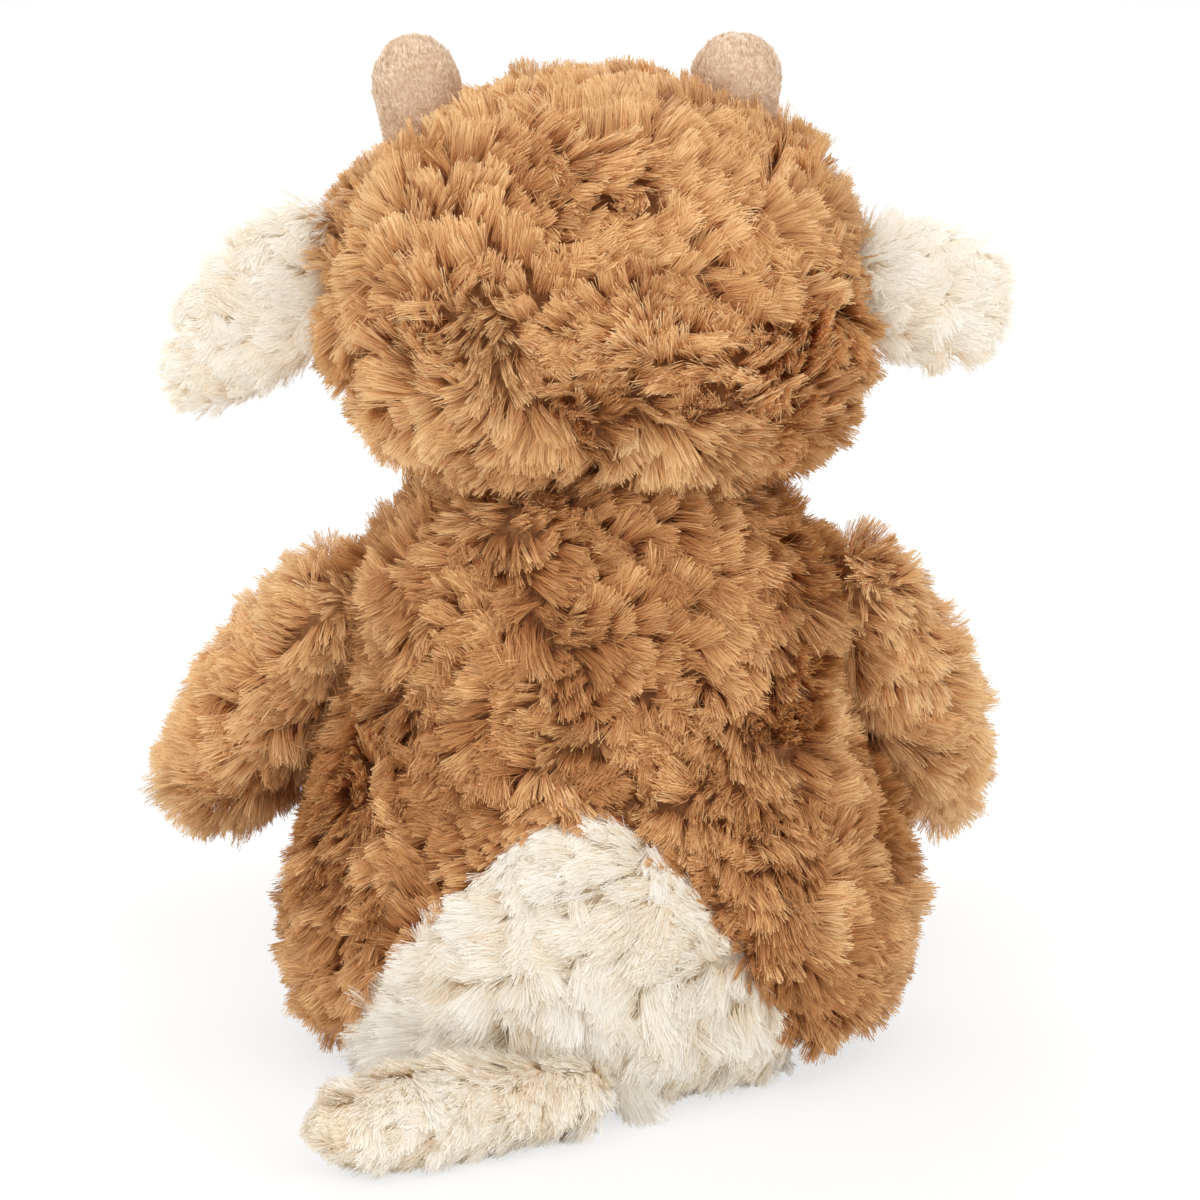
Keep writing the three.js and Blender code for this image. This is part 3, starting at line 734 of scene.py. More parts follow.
def scatter(obj, density, rng, keep=None):
    """Random places on an object's skin, with their normals: density in places per square centimetre."""
    mesh = obj.data
    mesh.calc_loop_triangles()
    corners = np.empty(len(mesh.loop_triangles) * 3, dtype=np.int32)
    mesh.loop_triangles.foreach_get("vertices", corners)
    corners = corners.reshape(-1, 3)
    points = get_points(mesh)
    normals = get_points(mesh, "normal")
    a, b, c = (points[corners[:, i]] for i in range(3))
    areas = np.linalg.norm(np.cross(b - a, c - a), axis=1) / 2
    count = int(areas.sum() * 1e4 * density)
    picked = rng.choice(len(areas), size=count, p=areas / areas.sum())
    u, v = rng.random(count), rng.random(count)
    over = u + v > 1
    u[over], v[over] = 1 - u[over], 1 - v[over]
    weights = np.stack([1 - u - v, u, v], axis=1)[:, :, None]
    places = (points[corners[picked]] * weights).sum(axis=1)
    facing = unit((normals[corners[picked]] * weights).sum(axis=1))
    if keep is not None:
        chosen = keep(places, facing)
        places, facing = places[chosen], facing[chosen]
    return places, facing


def spaced(points, spacing, rng):
    """Indices of points about a spacing apart, and for each point its nearest one."""
    chosen = []
    cells = {}
    keys = np.floor(points / spacing).astype(int).tolist()
    steps = (-1, 0, 1)
    neighbours = [(i, j, k) for i in steps for j in steps for k in steps]
    for index in rng.permutation(len(points))[: max(8, len(points) // 2)].tolist():
        x, y, z = keys[index]
        around = [cells.get((x + i, y + j, z + k)) for i, j, k in neighbours]
        near = [other for found in around if found for other in found]
        if near and np.min(np.sum((points[near] - points[index]) ** 2, axis=1)) < (0.72 * spacing) ** 2:
            continue
        cells.setdefault((x, y, z), []).append(index)
        chosen.append(index)
    tree = KDTree(len(chosen))
    for i, index in enumerate(chosen):
        tree.insert(points[index], i)
    tree.balance()
    nearest = np.fromiter((tree.find(point)[1] for point in points), dtype=np.int64, count=len(points))
    return np.array(chosen), nearest


def in_plane(flow, normals):
    """A flow laid into the skin's plane, as unit vectors."""
    return unit(flow - normals * np.sum(flow * normals, axis=1, keepdims=True))


def bareness(roots, ends, size):
    """Where pile is combed away from a place on all sides.

    It is 1 if hardly any hair ends there, and 0 if as many end there as root there.
    """
    cells = np.floor(np.concatenate([roots, ends]) / size).astype(np.int64)
    _, index = np.unique(cells @ [1, 1 << 20, 1 << 40], return_inverse=True)
    rooted = np.bincount(index[: len(roots)], minlength=index.max() + 1)
    ending = np.bincount(index[len(roots) :], minlength=index.max() + 1)
    covered = ending / np.maximum(rooted, 1)
    return 1 - ease(0.05, 0.35, covered[index[: len(roots)]])


def hair_paths(places, normals, flow, lengths, rise, fall, curl, bends):
    """Points along each hair, which leans from its rise to its fall: (bends, hairs, 3)."""
    side = np.cross(normals, flow)
    turn = np.where(np.abs(fall - rise) < 1e-3, 1e-3, fall - rise)
    paths = []
    for s in bends:
        lean = rise + turn * s
        up = (np.sin(lean) - np.sin(rise)) / turn
        out = (np.cos(rise) - np.cos(lean)) / turn
        bend = curl * s
        sweep = flow * (out * np.cos(bend))[:, None] + side * (out * np.sin(bend))[:, None]
        paths.append(places + lengths[:, None] * (normals * up[:, None] + sweep))
    return np.stack(paths)


def grow(obj, pile, flow_of, seed, panels, stand_of=None, keep=None):
    """Grows pile on an object's skin and returns a mesh piece for each panel.

    A panel is a name and a test of where a hair roots.
    The skin is shared out among broad locks, each combed its own way and spread like a fan. A lock is
    crossed by ridges, in which the cut ends meet along one line, and a ridge is made of fine wisps.
    How the pile stands at a place is its share of the length, how many degrees flatter it lies, how stepped
    it is, how far its tufts draw together, how far it wanders from its combed way, how much the tufts
    differ, the share of the hair's width and how much lighter its tint is.
    """
    rng = np.random.default_rng(seed)
    places, normals = scatter(obj, pile.density / pile.hairs, rng, keep)
    wisps = len(places)

    stand = {
        "share": 1, "flatter": 0, "steps": pile.steps, "narrowing": pile.narrowing,
        "wander": 1, "unrest": 1, "width": 1, "shade": 0,
    }
    if stand_of is not None:
        stand.update(stand_of(places, normals))
    wander, unrest, width = (np.broadcast_to(stand[name], wisps) for name in ("wander", "unrest", "width"))

    def wandering(chosen):
        at, facing = places[chosen], normals[chosen]
        swirl = noise(at, pile.wander_size, seed + 11) + 0.5 * noise(at, 0.45 * pile.wander_size, seed + 21)
        swirl *= pi * pile.wander * wander[chosen]
        return turn_about(in_plane(flow_of(at, facing), facing), facing, swirl)

    # locks, where the normal keeps the two sides of a thin piece apart
    lock_at, lock = spaced(places + normals * pile.lock, pile.lock, rng)
    locks = len(lock_at)
    facing = normals[lock_at]
    lock_flow = turn_about(wandering(lock_at), facing, rng.normal(0, pile.jitter, locks) * wander[lock_at])
    lock_side = np.cross(facing, lock_flow)
    lock_lift = rng.normal(0, radians(pile.lift), locks)
    lock_length = rng.uniform(0.86, 1.14, locks)
    lock_shade = rng.normal(pile.shade, 0.13, locks)
    away = places - places[lock_at][lock]
    along = np.sum(away * lock_flow[lock], axis=1)
    aside = np.sum(away * lock_side[lock], axis=1)
    fanned = (pile.fan * wander)[:, None] * away / pile.lock
    flow = in_plane(lock_flow[lock] + fanned + 0.4 * wandering(np.arange(wisps)), normals)

    # ridges, which cross a lock unevenly
    uneven = along + 0.5 * pile.ridge * noise(places, 1.3 * pile.ridge, seed + 12)
    grid = np.stack([uneven / pile.ridge, aside / (pile.breadth * pile.ridge), 10.0 * lock], axis=1)
    ridge_at, ridge = spaced(grid, 1, rng)
    ridges = len(ridge_at)
    flow = in_plane(turn_about(flow, normals, rng.normal(0, 0.2, ridges)[ridge] * wander), normals)
    side = np.cross(normals, flow)
    ridge_lift = rng.normal(0, radians(6.5), ridges)
    ridge_length = rng.uniform(0.82, 1.12, ridges)
    ridge_curl = rng.normal(0, pile.curl, ridges)
    ridge_shade = rng.normal(0, 0.12, ridges)
    flatter = stand["flatter"] + unrest * pile.lay * noise(places, 28 * MM, seed + 15)
    flatter = flatter - 22 * bareness(places, places + 0.6 * pile.length * flow, 5 * MM)
    steps = stand["steps"] * (1 + 0.6 * noise(places, 24 * MM, seed + 14))
    level = np.clip(rng.normal(0, 0.15, ridges)[ridge] + steps, 0, 1)
    narrow = np.clip(rng.normal(0, 0.15, ridges)[ridge] + stand["narrowing"], 0, 0.75)
    drawn = flow * (level * (along[ridge_at][ridge] - along))[:, None]
    drawn += side * (narrow * (aside[ridge_at][ridge] - aside))[:, None]

    # wisps
    base = pile.length * stand["share"] * (1 + unrest * pile.relief * noise(places, 12 * MM, seed + 13))
    base = base * lock_length[lock] * ridge_length[ridge] * rng.uniform(0.95, 1.05, wisps)
    flow = turn_about(flow, normals, rng.normal(0, 0.07, wisps))
    rise = np.radians(pile.rise + 1.2 * flatter) + rng.normal(0, LEAN_SPREAD, wisps)
    fall = np.radians(pile.fall + flatter) + unrest * (lock_lift[lock] + ridge_lift[ridge])
    fall += rng.normal(0, LEAN_SPREAD, wisps)
    rounded = np.clip((aside - aside[ridge_at][ridge]) / (0.5 * pile.breadth * pile.ridge), -1, 1)
    outside = 0.7 * normals + 0.3 * side * rounded[:, None]
    curl = ridge_curl[ridge] + rng.normal(0, 0.12, wisps)
    shade = stand["shade"] + lock_shade[lock] + ridge_shade[ridge] + rng.normal(0, 0.16, wisps)

    # hairs, each of a wisp
    of = np.repeat(np.arange(wisps), pile.hairs)
    count = len(of)
    reach = pile.wisp * np.sqrt(rng.random(count))
    turn = rng.uniform(0, 2 * pi, count)
    offset = flow[of] * (reach * np.cos(turn))[:, None] + side[of] * (reach * np.sin(turn))[:, None]
    stray = rng.random(count) < pile.stray
    lengths = base[of] * np.where(stray, rng.uniform(0.95, 1.15, count), rng.uniform(0.9, 1.04, count))
    hair_flow = turn_about(flow[of], normals[of], rng.normal(0, 1, count) * np.where(stray, 0.6, 0.08))
    hair_fall = fall[of] + rng.normal(0, LEAN_SPREAD, count) - np.where(stray, radians(15), 0)
    shade = np.clip(shade[of] + rng.normal(0, 0.09, count), 0.01, 0.99)
    closing = np.where(stray, 0, 0.4)[:, None]
    frizz = rng.normal(0, 0.016, (count, 3)) * lengths[:, None]

    def hairs(chosen, form):
        """One form of hair, made for the chosen ones."""
        bends = form[0]
        s = np.array(bends)[:, None, None]
        to = of[chosen]
        paths = hair_paths(
            places[to] + offset[chosen], normals[to], hair_flow[chosen], lengths[chosen], rise[to],
            hair_fall[chosen], curl[to], bends,
        )
        paths += drawn[to] * s**1.3 - offset[chosen] * closing[chosen] * s**1.2 + frizz[chosen] * s**2
        paths[:, :, 2] = np.maximum(paths[:, :, 2], pile.floor)
        half = 0.5 * pile.hair * width[to] * rng.uniform(0.75, 1.25, len(to))
        facet = 0.32 * unrest[to]
        return ribbons(paths, normals[to], outside[to], half, pile.floor, facet, shade[chosen], form, rng)

    pieces = []
    for name, inside in panels.items():
        mine = np.flatnonzero(inside(places)[of])
        kind = rng.random(len(mine))
        whole = (kind < pile.whole) | stray[mine]
        wide = ~whole & (kind > 0.5 + 0.5 * pile.whole)
        fine = ~whole & ~wide
        made = [hairs(mine[whole], WHOLE_HAIR), hairs(mine[wide], CUT_END), hairs(mine[fine], FINE_END)]
        pieces.append(hair_piece(name, made))
    return pieces


def ribbons(paths, normals, outside, half, floor, facet, shade, form, rng):
    """Each hair as a thin ribbon: its points, normals, triangles and UV."""
    bends, corners, pattern = form
    count = paths.shape[1]
    forward = unit(np.gradient(paths, axis=0))
    side = unit(np.cross(forward, normals[None]) + 1e-9)
    face = unit(np.cross(side, forward))
    roll = rng.normal(0, 0.45, count)[None, :, None]
    side, face = side * np.cos(roll) + face * np.sin(roll), face * np.cos(roll) - side * np.sin(roll)
    half, facet = half[:, None], facet[:, None]
    rows = [row for row, edge in corners]
    edges = [edge for row, edge in corners]
    points = np.stack([paths[row] + edge * half * side[row] for row, edge in corners], axis=1)
    points = points.reshape(-1, 3)
    points[:, 2] = np.maximum(points[:, 2], 0.5 * floor)
    bent = [outside + facet * (face[row] + 0.5 * np.sign(edge) * side[row]) for row, edge in corners]
    bent = unit(np.stack(bent, axis=1).reshape(-1, 3))
    triangles = (np.array(pattern)[None] + len(corners) * np.arange(count)[:, None, None]).reshape(-1, 3)
    a, b, c = (points[triangles[:, i]] for i in range(3))
    inward = np.sum(np.cross(b - a, c - a) * bent[triangles[:, 0]], axis=1) < 0
    triangles[inward] = triangles[inward][:, ::-1]
    along = np.tile(np.array(bends)[rows], count)
    across = np.repeat(shade, len(corners)) + np.tile(0.004 * np.array(edges), count)
    return points, bent, triangles, np.stack([along, across], axis=1)


def hair_piece(name, made):
    """One mesh of several sets of ribbons."""
    points, bent, _, uv = (np.concatenate([part[i] for part in made]) for i in range(4))
    first = np.cumsum([0] + [len(part[0]) for part in made[:-1]])
    triangles = np.concatenate([part[2] + start for part, start in zip(made, first)])
    mesh = bpy.data.meshes.new(name)
    mesh.vertices.add(len(points))
    mesh.vertices.foreach_set("co", points.astype(np.float32).ravel())
    mesh.loops.add(triangles.size)
    mesh.loops.foreach_set("vertex_index", triangles.astype(np.int32).ravel())
    mesh.polygons.add(len(triangles))
    mesh.polygons.foreach_set("loop_start", np.arange(0, triangles.size, 3, dtype=np.int32))
    mesh.polygons.foreach_set("use_smooth", np.ones(len(triangles), dtype=bool))
    mesh.update(calc_edges=True)
    corner_uv = uv[triangles.ravel()].astype(np.float32).ravel()
    # two maps with the same coordinates, one read by the material and one named OFBake, on which hairs of
    # one tint lie together; the export bakes through its own map where a piece brings one, and lays hairs
    # of one tint together
    for layer in ("strand", "OFBake"):
        mesh.uv_layers.new(name=layer).data.foreach_set("uv", corner_uv)
    mesh.normals_split_custom_set_from_vertices(bent.tolist())
    piece = bpy.data.objects.new(name, mesh)
    bpy.context.scene.collection.objects.link(piece)
    return piece


def pile_settings(**changes):
    """Long pile as the user set it, with changes for one piece."""
    pile = bpy.context.scene.plush_cow_pile
    names = ("length", "lock", "ridge", "wisp", "hair", "density")
    return Pile(**{**{name: getattr(pile, name) for name in names}, **changes})


def short_pile_settings(**changes):
    """Short pile as the user set it, with changes for one piece."""
    pile = bpy.context.scene.plush_cow_short_pile
    settings = {
        "length": pile.length, "hair": pile.hair, "density": 900, "wisp": 0.5 * MM, "rise": 10, "fall": 40,
        "wander": 0.4, "wander_size": 9 * MM, "curl": 0.2, "lock": 6 * MM, "ridge": 2.5 * MM, "lift": 5,
        "fan": 0.2, "stray": 0, "whole": 0, "hairs": 6, "steps": 0.2,
    }
    return Pile(**{**settings, **changes})


def combed(direction):
    """A flow that is the same everywhere."""
    return lambda at, facing: np.tile(direction, (len(at), 1))


upward = combed([0.0, 0.0, 1.0])


def everywhere(at):
    return np.ones(len(at), dtype=bool)


def quarters(name, middle, but=None):
    """Four panels of pile, parted at the middle of the width and at a depth, without a place left out."""

    def quarter(back, left):
        def inside(at):
            mine = ((at[:, 1] > middle) == back) & ((at[:, 0] > 0) == left)
            return mine if but is None else mine & ~but(at)

        return inside

    return {
        f"{name}_pile_{end}_{side}": quarter(end == "back", side == "left")
        for end in ("back", "front")
        for side in SIDES
    }


# Each plush: the record's slot, its hair and its ground
PLUSH = {
    "brown": ("brown_pile", brown_hair, brown_backing),
    "cream": ("cream_pile", cream_hair, cream_backing),
    "beige": ("beige_short_pile", short_hair, velvet),
}


def hang(piece, body, material):
    """Gives a finished piece its material and body."""
    piece.data.materials.clear()
    piece.data.materials.append(material)
    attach(piece, body)


def hang_pile(piece, body, plush):
    slot, hair, _ = PLUSH[plush]
    hang(piece, body, hair())


def hang_skin(skin, body, plush, node):
    """Hangs a stuffed skin, which stands for a CAD node."""
    slot, _, ground = PLUSH[plush]
    hang(skin, body, ground())
    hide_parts(node)


def dress(skin, plush, body, node, pile, flow, seed, panels, stand=None, keep=None):
    """Grows pile on a skin and hangs both on a body."""
    for piece in grow(skin, pile, flow, seed, panels, stand, keep):
        hang_pile(piece, body, plush)
    hang_skin(skin, body, plush, node)


def finish_node(node, material):
    """Gives a CAD node that stays its material."""
    data = frame["nodes"][node].data
    data.materials.clear()
    data.materials.append(material)


def in_patch(at):
    """The arch of the rump patch, on the back of the body."""
    aside = np.abs(at[:, 0] - PATCH_MIDDLE)
    share = np.clip(aside / PATCH_HALF_WIDTH, 0, 1)
    arch = PATCH_SPRING + (patch_high[2] - PATCH_SPRING) * (1 - share**1.85) ** 0.95
    from_middle = np.hypot(at[:, 0], at[:, 1] / BODY_DEPTH_SHARE)
    above_seat = from_middle > SEAT_HALF_WIDTH - PATCH_SEAM_UNDER_SEAT
    return (at[:, 1] > 0) & above_seat & (aside < PATCH_HALF_WIDTH) & (at[:, 2] < arch)


def body_flow(at, facing):
    """Down the back and flanks, outwards on the shoulders and under the seat, tailwards on the patch."""
    down = np.array([0, 0, -30 * MM])
    outward = at * [1, 1, 0]
    share = 0.15 + 0.9 * ease(100 * MM, 140 * MM, at[:, 2])
    to_tail = in_patch(at)[:, None] * [16 * MM, 0, 0]
    return down + outward * share[:, None] + to_tail


def split_patch(body):
    """The rump patch's skin, taken from the body's as a piece of its own."""
    select_nothing()
    body.select_set(True)
    bpy.context.view_layer.objects.active = body
    middles = np.array([polygon.center for polygon in body.data.polygons])
    chosen = in_patch(middles)
    bpy.ops.object.mode_set(mode="EDIT")
    bpy.ops.mesh.select_all(action="DESELECT")
    bpy.ops.object.mode_set(mode="OBJECT")
    body.data.polygons.foreach_set("select", chosen)
    bpy.ops.object.mode_set(mode="EDIT")
    bpy.ops.mesh.select_mode(type="FACE")
    bpy.ops.mesh.separate(type="SELECTED")
    bpy.ops.object.mode_set(mode="OBJECT")
    patch = next(obj for obj in bpy.context.selected_objects if obj is not body)
    patch.name = patch.data.name = "rump_patch_skin"
    return patch


class PLUSHCOW_OT_body(bpy.types.Operator):
    """The body's stuffed skin, its rump patch and their pile"""

    bl_idname = "plush_cow.body"
    bl_label = "Body"

    def execute(self, context):
        cover = context.scene.plush_cow_cover
        skin = body_skin("body_skin", cover.body_depth)
        swell(skin, height=124 * MM, spread=12 * MM, amount=8 * MM, aside=(20 * MM, 42 * MM))
        lump(skin, cover.lump, 26 * MM, 3)
        brown_share = 0.68
        front_share = 0.4

        def stand(at, facing):
            """Short under the seat, long and upright over the shoulders, flat and even on the patch."""
            shoulder = ease(30 * MM, 42 * MM, np.abs(at[:, 0])) * ease(95 * MM, 112 * MM, at[:, 2])
            shoulder *= 1 - ease(124 * MM, 138 * MM, at[:, 2])
            shoulder *= ease(-40 * MM, -10 * MM, at[:, 1])
            sideways = ease(0.6, 0.1, np.abs(facing[:, 1]))
            under = ease(0.3, 0.8, -facing[:, 2])
            patch = in_patch(at)
            # the brown pile is short where it would fall over the patch, and the cream pile under its arch
            seam = 6 * MM
            to_middle = np.outer(np.sign(at[:, 0] - PATCH_MIDDLE), [seam, 0, 0])
            beside = (in_patch(at - [0, 0, seam]) | in_patch(at - to_middle)) & ~patch
            rim = patch & ~in_patch(at + [0, 0, 8 * MM])
            by_tail = patch * ease(34 * MM, 20 * MM, at[:, 2]) * ease(-30 * MM, -15 * MM, at[:, 0])
            share = 1 + 0.15 * shoulder - np.where(patch, 0.35, 0.72) * under - 0.35 * beside
            return {
                "share": share + 0.1 * patch - 0.35 * rim + 0.4 * by_tail,
                "flatter": 9 * patch - 8 * shoulder - 14 * sideways - 8 * by_tail,
                "steps": np.where(patch, 0.2, 0.75),
                "narrowing": np.where(patch, 0.3, 0.12),
                "wander": np.where(patch, 0.55, 1),
                "unrest": np.where(patch, 0.35, 1),
                "width": np.where(patch, 0.75, 1),
                # the patch's tint is raised above the body's, which is lowered as painted shade
                "shade": np.where(patch, 0.4, 0),
            }

        def showing(at, facing):
            """Not in the head's seat, densest on the patch, thinnest in front and under the seat."""
            thin = (at[:, 1] < -20 * MM) | (facing[:, 2] < -0.6)
            share = np.where(in_patch(at), 1, np.where(thin, front_share, brown_share))
            return (at[:, 2] < 155 * MM) & (np.arange(len(at)) % 25 < 25 * share)

        panels = {"rump_patch_pile": in_patch, **quarters("body", 0, in_patch)}
        # the body's pile is tinted darker than the head's: painted shade under the head
        pile = pile_settings(shade=0.17)
        pile.density /= brown_share
        for piece in grow(skin, pile, body_flow, 100, panels, stand, showing):
            hang_pile(piece, "body", "cream" if piece.name.startswith("rump") else "brown")
        patch = split_patch(skin)
        hang_skin(skin, "body", "brown", "body_cover")
        hang_skin(patch, "body", "cream", "rump_patch")
        return {"FINISHED"}


def head_flow(at, facing):
    """Away from the whorl at the back of the head, and round it a little."""
    out = at - HEAD_CENTRE
    away = out - np.outer(out @ WHORL, WHORL)
    return unit(away) + 0.5 * unit(np.cross(WHORL, away))


class PLUSHCOW_OT_head(bpy.types.Operator):
    """The head's stuffed skin and its pile, combed away from a whorl at the back"""

    bl_idname = "plush_cow.head"
    bl_label = "Head"

    def execute(self, context):
        cover = context.scene.plush_cow_cover
        skin = head_skin("head_skin", cover.body_depth)
        swell(skin, height=160 * MM, spread=13 * MM, amount=4 * MM, aside=(28 * MM, 52 * MM))
        ears = [joint_place(f"{side}_ear_flap") for side in SIDES]
        draw_in_back(
            skin, HEAD_CENTRE, HEAD_BACK_DRAWN_IN, behind=(-30 * MM, -6 * MM), spared=ears,
            around=(12 * MM, 32 * MM), least=0.25,
        )
        lump(skin, cover.lump, 26 * MM, 5)
        muzzle = node_middle("muzzle")
        muzzle[1] = node_box("muzzle")[1][1]
        eyes = [node_middle(f"{side}_eye") for side in SIDES]
        horns = [[*node_middle(f"{side}_horn")[:2], node_box(f"{side}_horn")[0][2]] for side in SIDES]
        whorl = HEAD_CENTRE + WHORL * (HEAD_RADIUS - cover.body_depth)

        def stand(at, facing):
            """Shorter round the eyes, muzzle and horns, which it would hide, and upright on the whorl."""
            share = ease(0, 26 * MM, apart(at * [0.8, 1, 1], muzzle * [0.8, 1, 1]) - 16 * MM)
            for eye in eyes:
                share = np.minimum(share, ease(5 * MM, 24 * MM, apart(at, eye)))
            for horn in horns:
                share = np.minimum(share, 0.4 + 0.6 * ease(9 * MM, 20 * MM, apart(at, horn)))
            upright = 1 - ease(3 * MM, 17 * MM, apart(at, whorl))
            sideways = ease(0.6, 0.1, np.abs(facing[:, 1]))
            return {
                "share": 0.25 + 0.75 * share,
                "flatter": -26 * upright - 14 * sideways * (1 - upright),
                "steps": 0.75 - 0.4 * upright,
            }

        panels = quarters("head", HEAD_CENTRE[1])
        pile = pile_settings(shade=0.5)
        dress(skin, "brown", "head", "head_cover", pile, head_flow, 200, panels, stand)
        return {"FINISHED"}


ARM_ROOT = 19 * MM
ARM_BELLY = 23 * MM
ARM_LENGTH = {"left": 92 * MM, "right": 84 * MM}
ARM_SPREAD = {"left": radians(29), "right": radians(21)}
ARM_FORWARD = {"left": radians(24), "right": radians(26)}
ARM_COMBED_OUTWARDS = {"left": 0.35, "right": 0.5}
LEG_ROOT = 19 * MM
LEG_BELLY = 24 * MM
LEG_LENGTH = 56 * MM
LEG_SPLAY = radians(14)
SOLE_RADIUS = 16 * MM
TAIL_ROOT = 9 * MM
TAIL_BELLY = 12.5 * MM
TAIL_LENGTH = 74 * MM
TAIL_SIDE = radians(22)


def arm(side):
    spread, forward = ARM_SPREAD[side], ARM_FORWARD[side]
    along = (SIDES[side] * sin(spread) * cos(forward), -sin(forward), -cos(spread) * cos(forward))
    centre = joint_place(f"{side}_arm_swing")
    return Limb(centre, along, ARM_ROOT, ARM_BELLY, ARM_LENGTH[side], ARM_LENGTH[side] / 2)


def leg(side):
    along = (SIDES[side] * sin(LEG_SPLAY), -cos(LEG_SPLAY), 0)
    return Limb(
        joint_place(f"{side}_leg_swing"), along, LEG_ROOT, LEG_BELLY, LEG_LENGTH, LEG_LENGTH * 0.55,
        end=SOLE_RADIUS, bluntness=2.2, flat_below=2.5 * MM,
    )


def tail():
    along = (cos(TAIL_SIDE), sin(TAIL_SIDE), 0)
    return Limb(
        joint_place("tail_swing"), along, TAIL_ROOT, TAIL_BELLY, TAIL_LENGTH, TAIL_LENGTH * 0.6,
        bluntness=2.1, flat_below=2 * MM,
    )


class PLUSHCOW_OT_arms(bpy.types.Operator):
    """Two arms in long brown pile, combed towards the paws"""

    bl_idname = "plush_cow.arms"
    bl_label = "Arms"

    def execute(self, context):
        cover = context.scene.plush_cow_cover
        # the arms' pile is tinted lighter than the head's: painted light on the arms
        pile = pile_settings(wander=0.35, steps=0.55, shade=0.66)
        for i, side in enumerate(SIDES):
            limb = arm(side)
            skin = limb.skin(f"{side}_arm_skin", cover.arm_depth, crease=(0.62, 4 * MM, 6 * MM))
            lump(skin, cover.lump, 18 * MM, 7 + i)
            flow = combed(limb.along + [ARM_COMBED_OUTWARDS[side] * SIDES[side], 0, 0])

            def stand(at, facing, limb=limb):
                """Short and flat on top of the shoulder, where it meets the body's pile."""
                top = 1 - ease(-6 * MM, 26 * MM, (at - limb.centre) @ limb.along)
                return {"share": 1 - 0.2 * top, "flatter": 2 + 6 * top, "unrest": 0.8 - 0.3 * top}

            dress(
                skin, "brown", f"{side}_arm", f"{side}_arm_cover", pile, flow, 300 + i,
                {f"{side}_arm_pile": everywhere}, stand,
            )
        return {"FINISHED"}


class PLUSHCOW_OT_legs(bpy.types.Operator):
    """Two legs in long brown pile, with padded short-pile soles"""

    bl_idname = "plush_cow.legs"
    bl_label = "Legs"

    def execute(self, context):
        cover = context.scene.plush_cow_cover
        for i, side in enumerate(SIDES):
            limb = leg(side)
            skin = limb.skin(f"{side}_leg_skin", cover.leg_depth, end_depth=2 * MM)
            lump(skin, cover.lump, 18 * MM, 17 + i)
            sole_at = limb.centre + limb.along * limb.length

            def stand(at, facing, limb=limb, sole_at=sole_at):
                """Short near the sole, and on the root's end, which lies against the body."""
                from_sole = ease(14 * MM, 30 * MM, apart(at, sole_at))
                end = ease(0.2, 0.8, -facing @ limb.along)
                return {"share": (0.4 + 0.4 * from_sole) * (1 - 0.5 * end)}

            def round_sole(at, facing, limb=limb):
                return facing @ limb.along < 0.85

            dress(
                skin, "brown", f"{side}_leg", f"{side}_leg_cover",
                pile_settings(wander=0.35, density=420), combed(limb.along), 320 + i,
                {f"{side}_leg_pile": everywhere}, stand, round_sole,
            )
            self.sole(side, limb)
        return {"FINISHED"}

    def sole(self, side, limb):
        """A padded disc, crowned and drawn in at its seam."""
        low = limb.length - 2.7 * MM
        crown = 1.4 * MM
        line = [
            (0, low),
            (SOLE_RADIUS - 1 * MM, low),
            (SOLE_RADIUS, low + 0.8 * MM),
            (SOLE_RADIUS - 0.4 * MM, low + 2 * MM),
        ]
        line += [(SOLE_RADIUS * cos(a), limb.length + crown * sin(a)) for a in np.linspace(0.35, pi / 2, 8)]

        def shape(share, around):
            return limb.placed(along_line(line, share), around)[0]

        def on_crown(at, facing):
            return facing @ limb.along > 0.2

        disc = shaped_ball(f"{side}_sole_pad", shape, 40, 24)
        dress(
            disc, "beige", f"{side}_leg", f"{side}_sole", short_pile_settings(), upward, 340,
            {f"{side}_sole_pile": everywhere}, keep=on_crown,
        )


class PLUSHCOW_OT_tail(bpy.types.Operator):
    """The thick cream tail, lying on the floor"""

    bl_idname = "plush_cow.tail"
    bl_label = "Tail"

    def execute(self, context):
        cover = context.scene.plush_cow_cover
        limb = tail()
        skin = limb.skin("tail_skin", cover.tail_depth)
        lump(skin, cover.lump * 0.6, 16 * MM, 31)
        pile = pile_settings(
            length=10 * MM, hair=0.2 * MM, density=1600, rise=52, fall=86, ridge=5.5 * MM, wander=0.3,
            jitter=0.25, lift=3, lay=3, steps=0.15, narrowing=0.3, relief=0.06, stray=0.006, shade=0.45,
        )

        def stand(at, facing):
            """Short on the root's end, over which the patch's pile falls, and at the tip."""
            end = ease(0.2, 0.7, -facing @ limb.along)
            tip = ease(0.7, 0.98, (at - limb.centre) @ limb.along / limb.length)
            return {"share": 1 - 0.6 * end - 0.5 * tip, "unrest": 0.5}

        panels = {"tail_pile": everywhere}
        dress(skin, "cream", "tail", "tail_cover", pile, combed(limb.along), 400, panels, stand)
        return {"FINISHED"}


EAR_LENGTH = {"left": 38 * MM, "right": 34 * MM}
EAR_HALF_WIDTH = 18 * MM
EAR_ROOT_HALF_WIDTH = 15 * MM
EAR_ROOT_DEPTH = 8 * MM
EAR_DROOP = {"left": radians(35), "right": radians(7)}


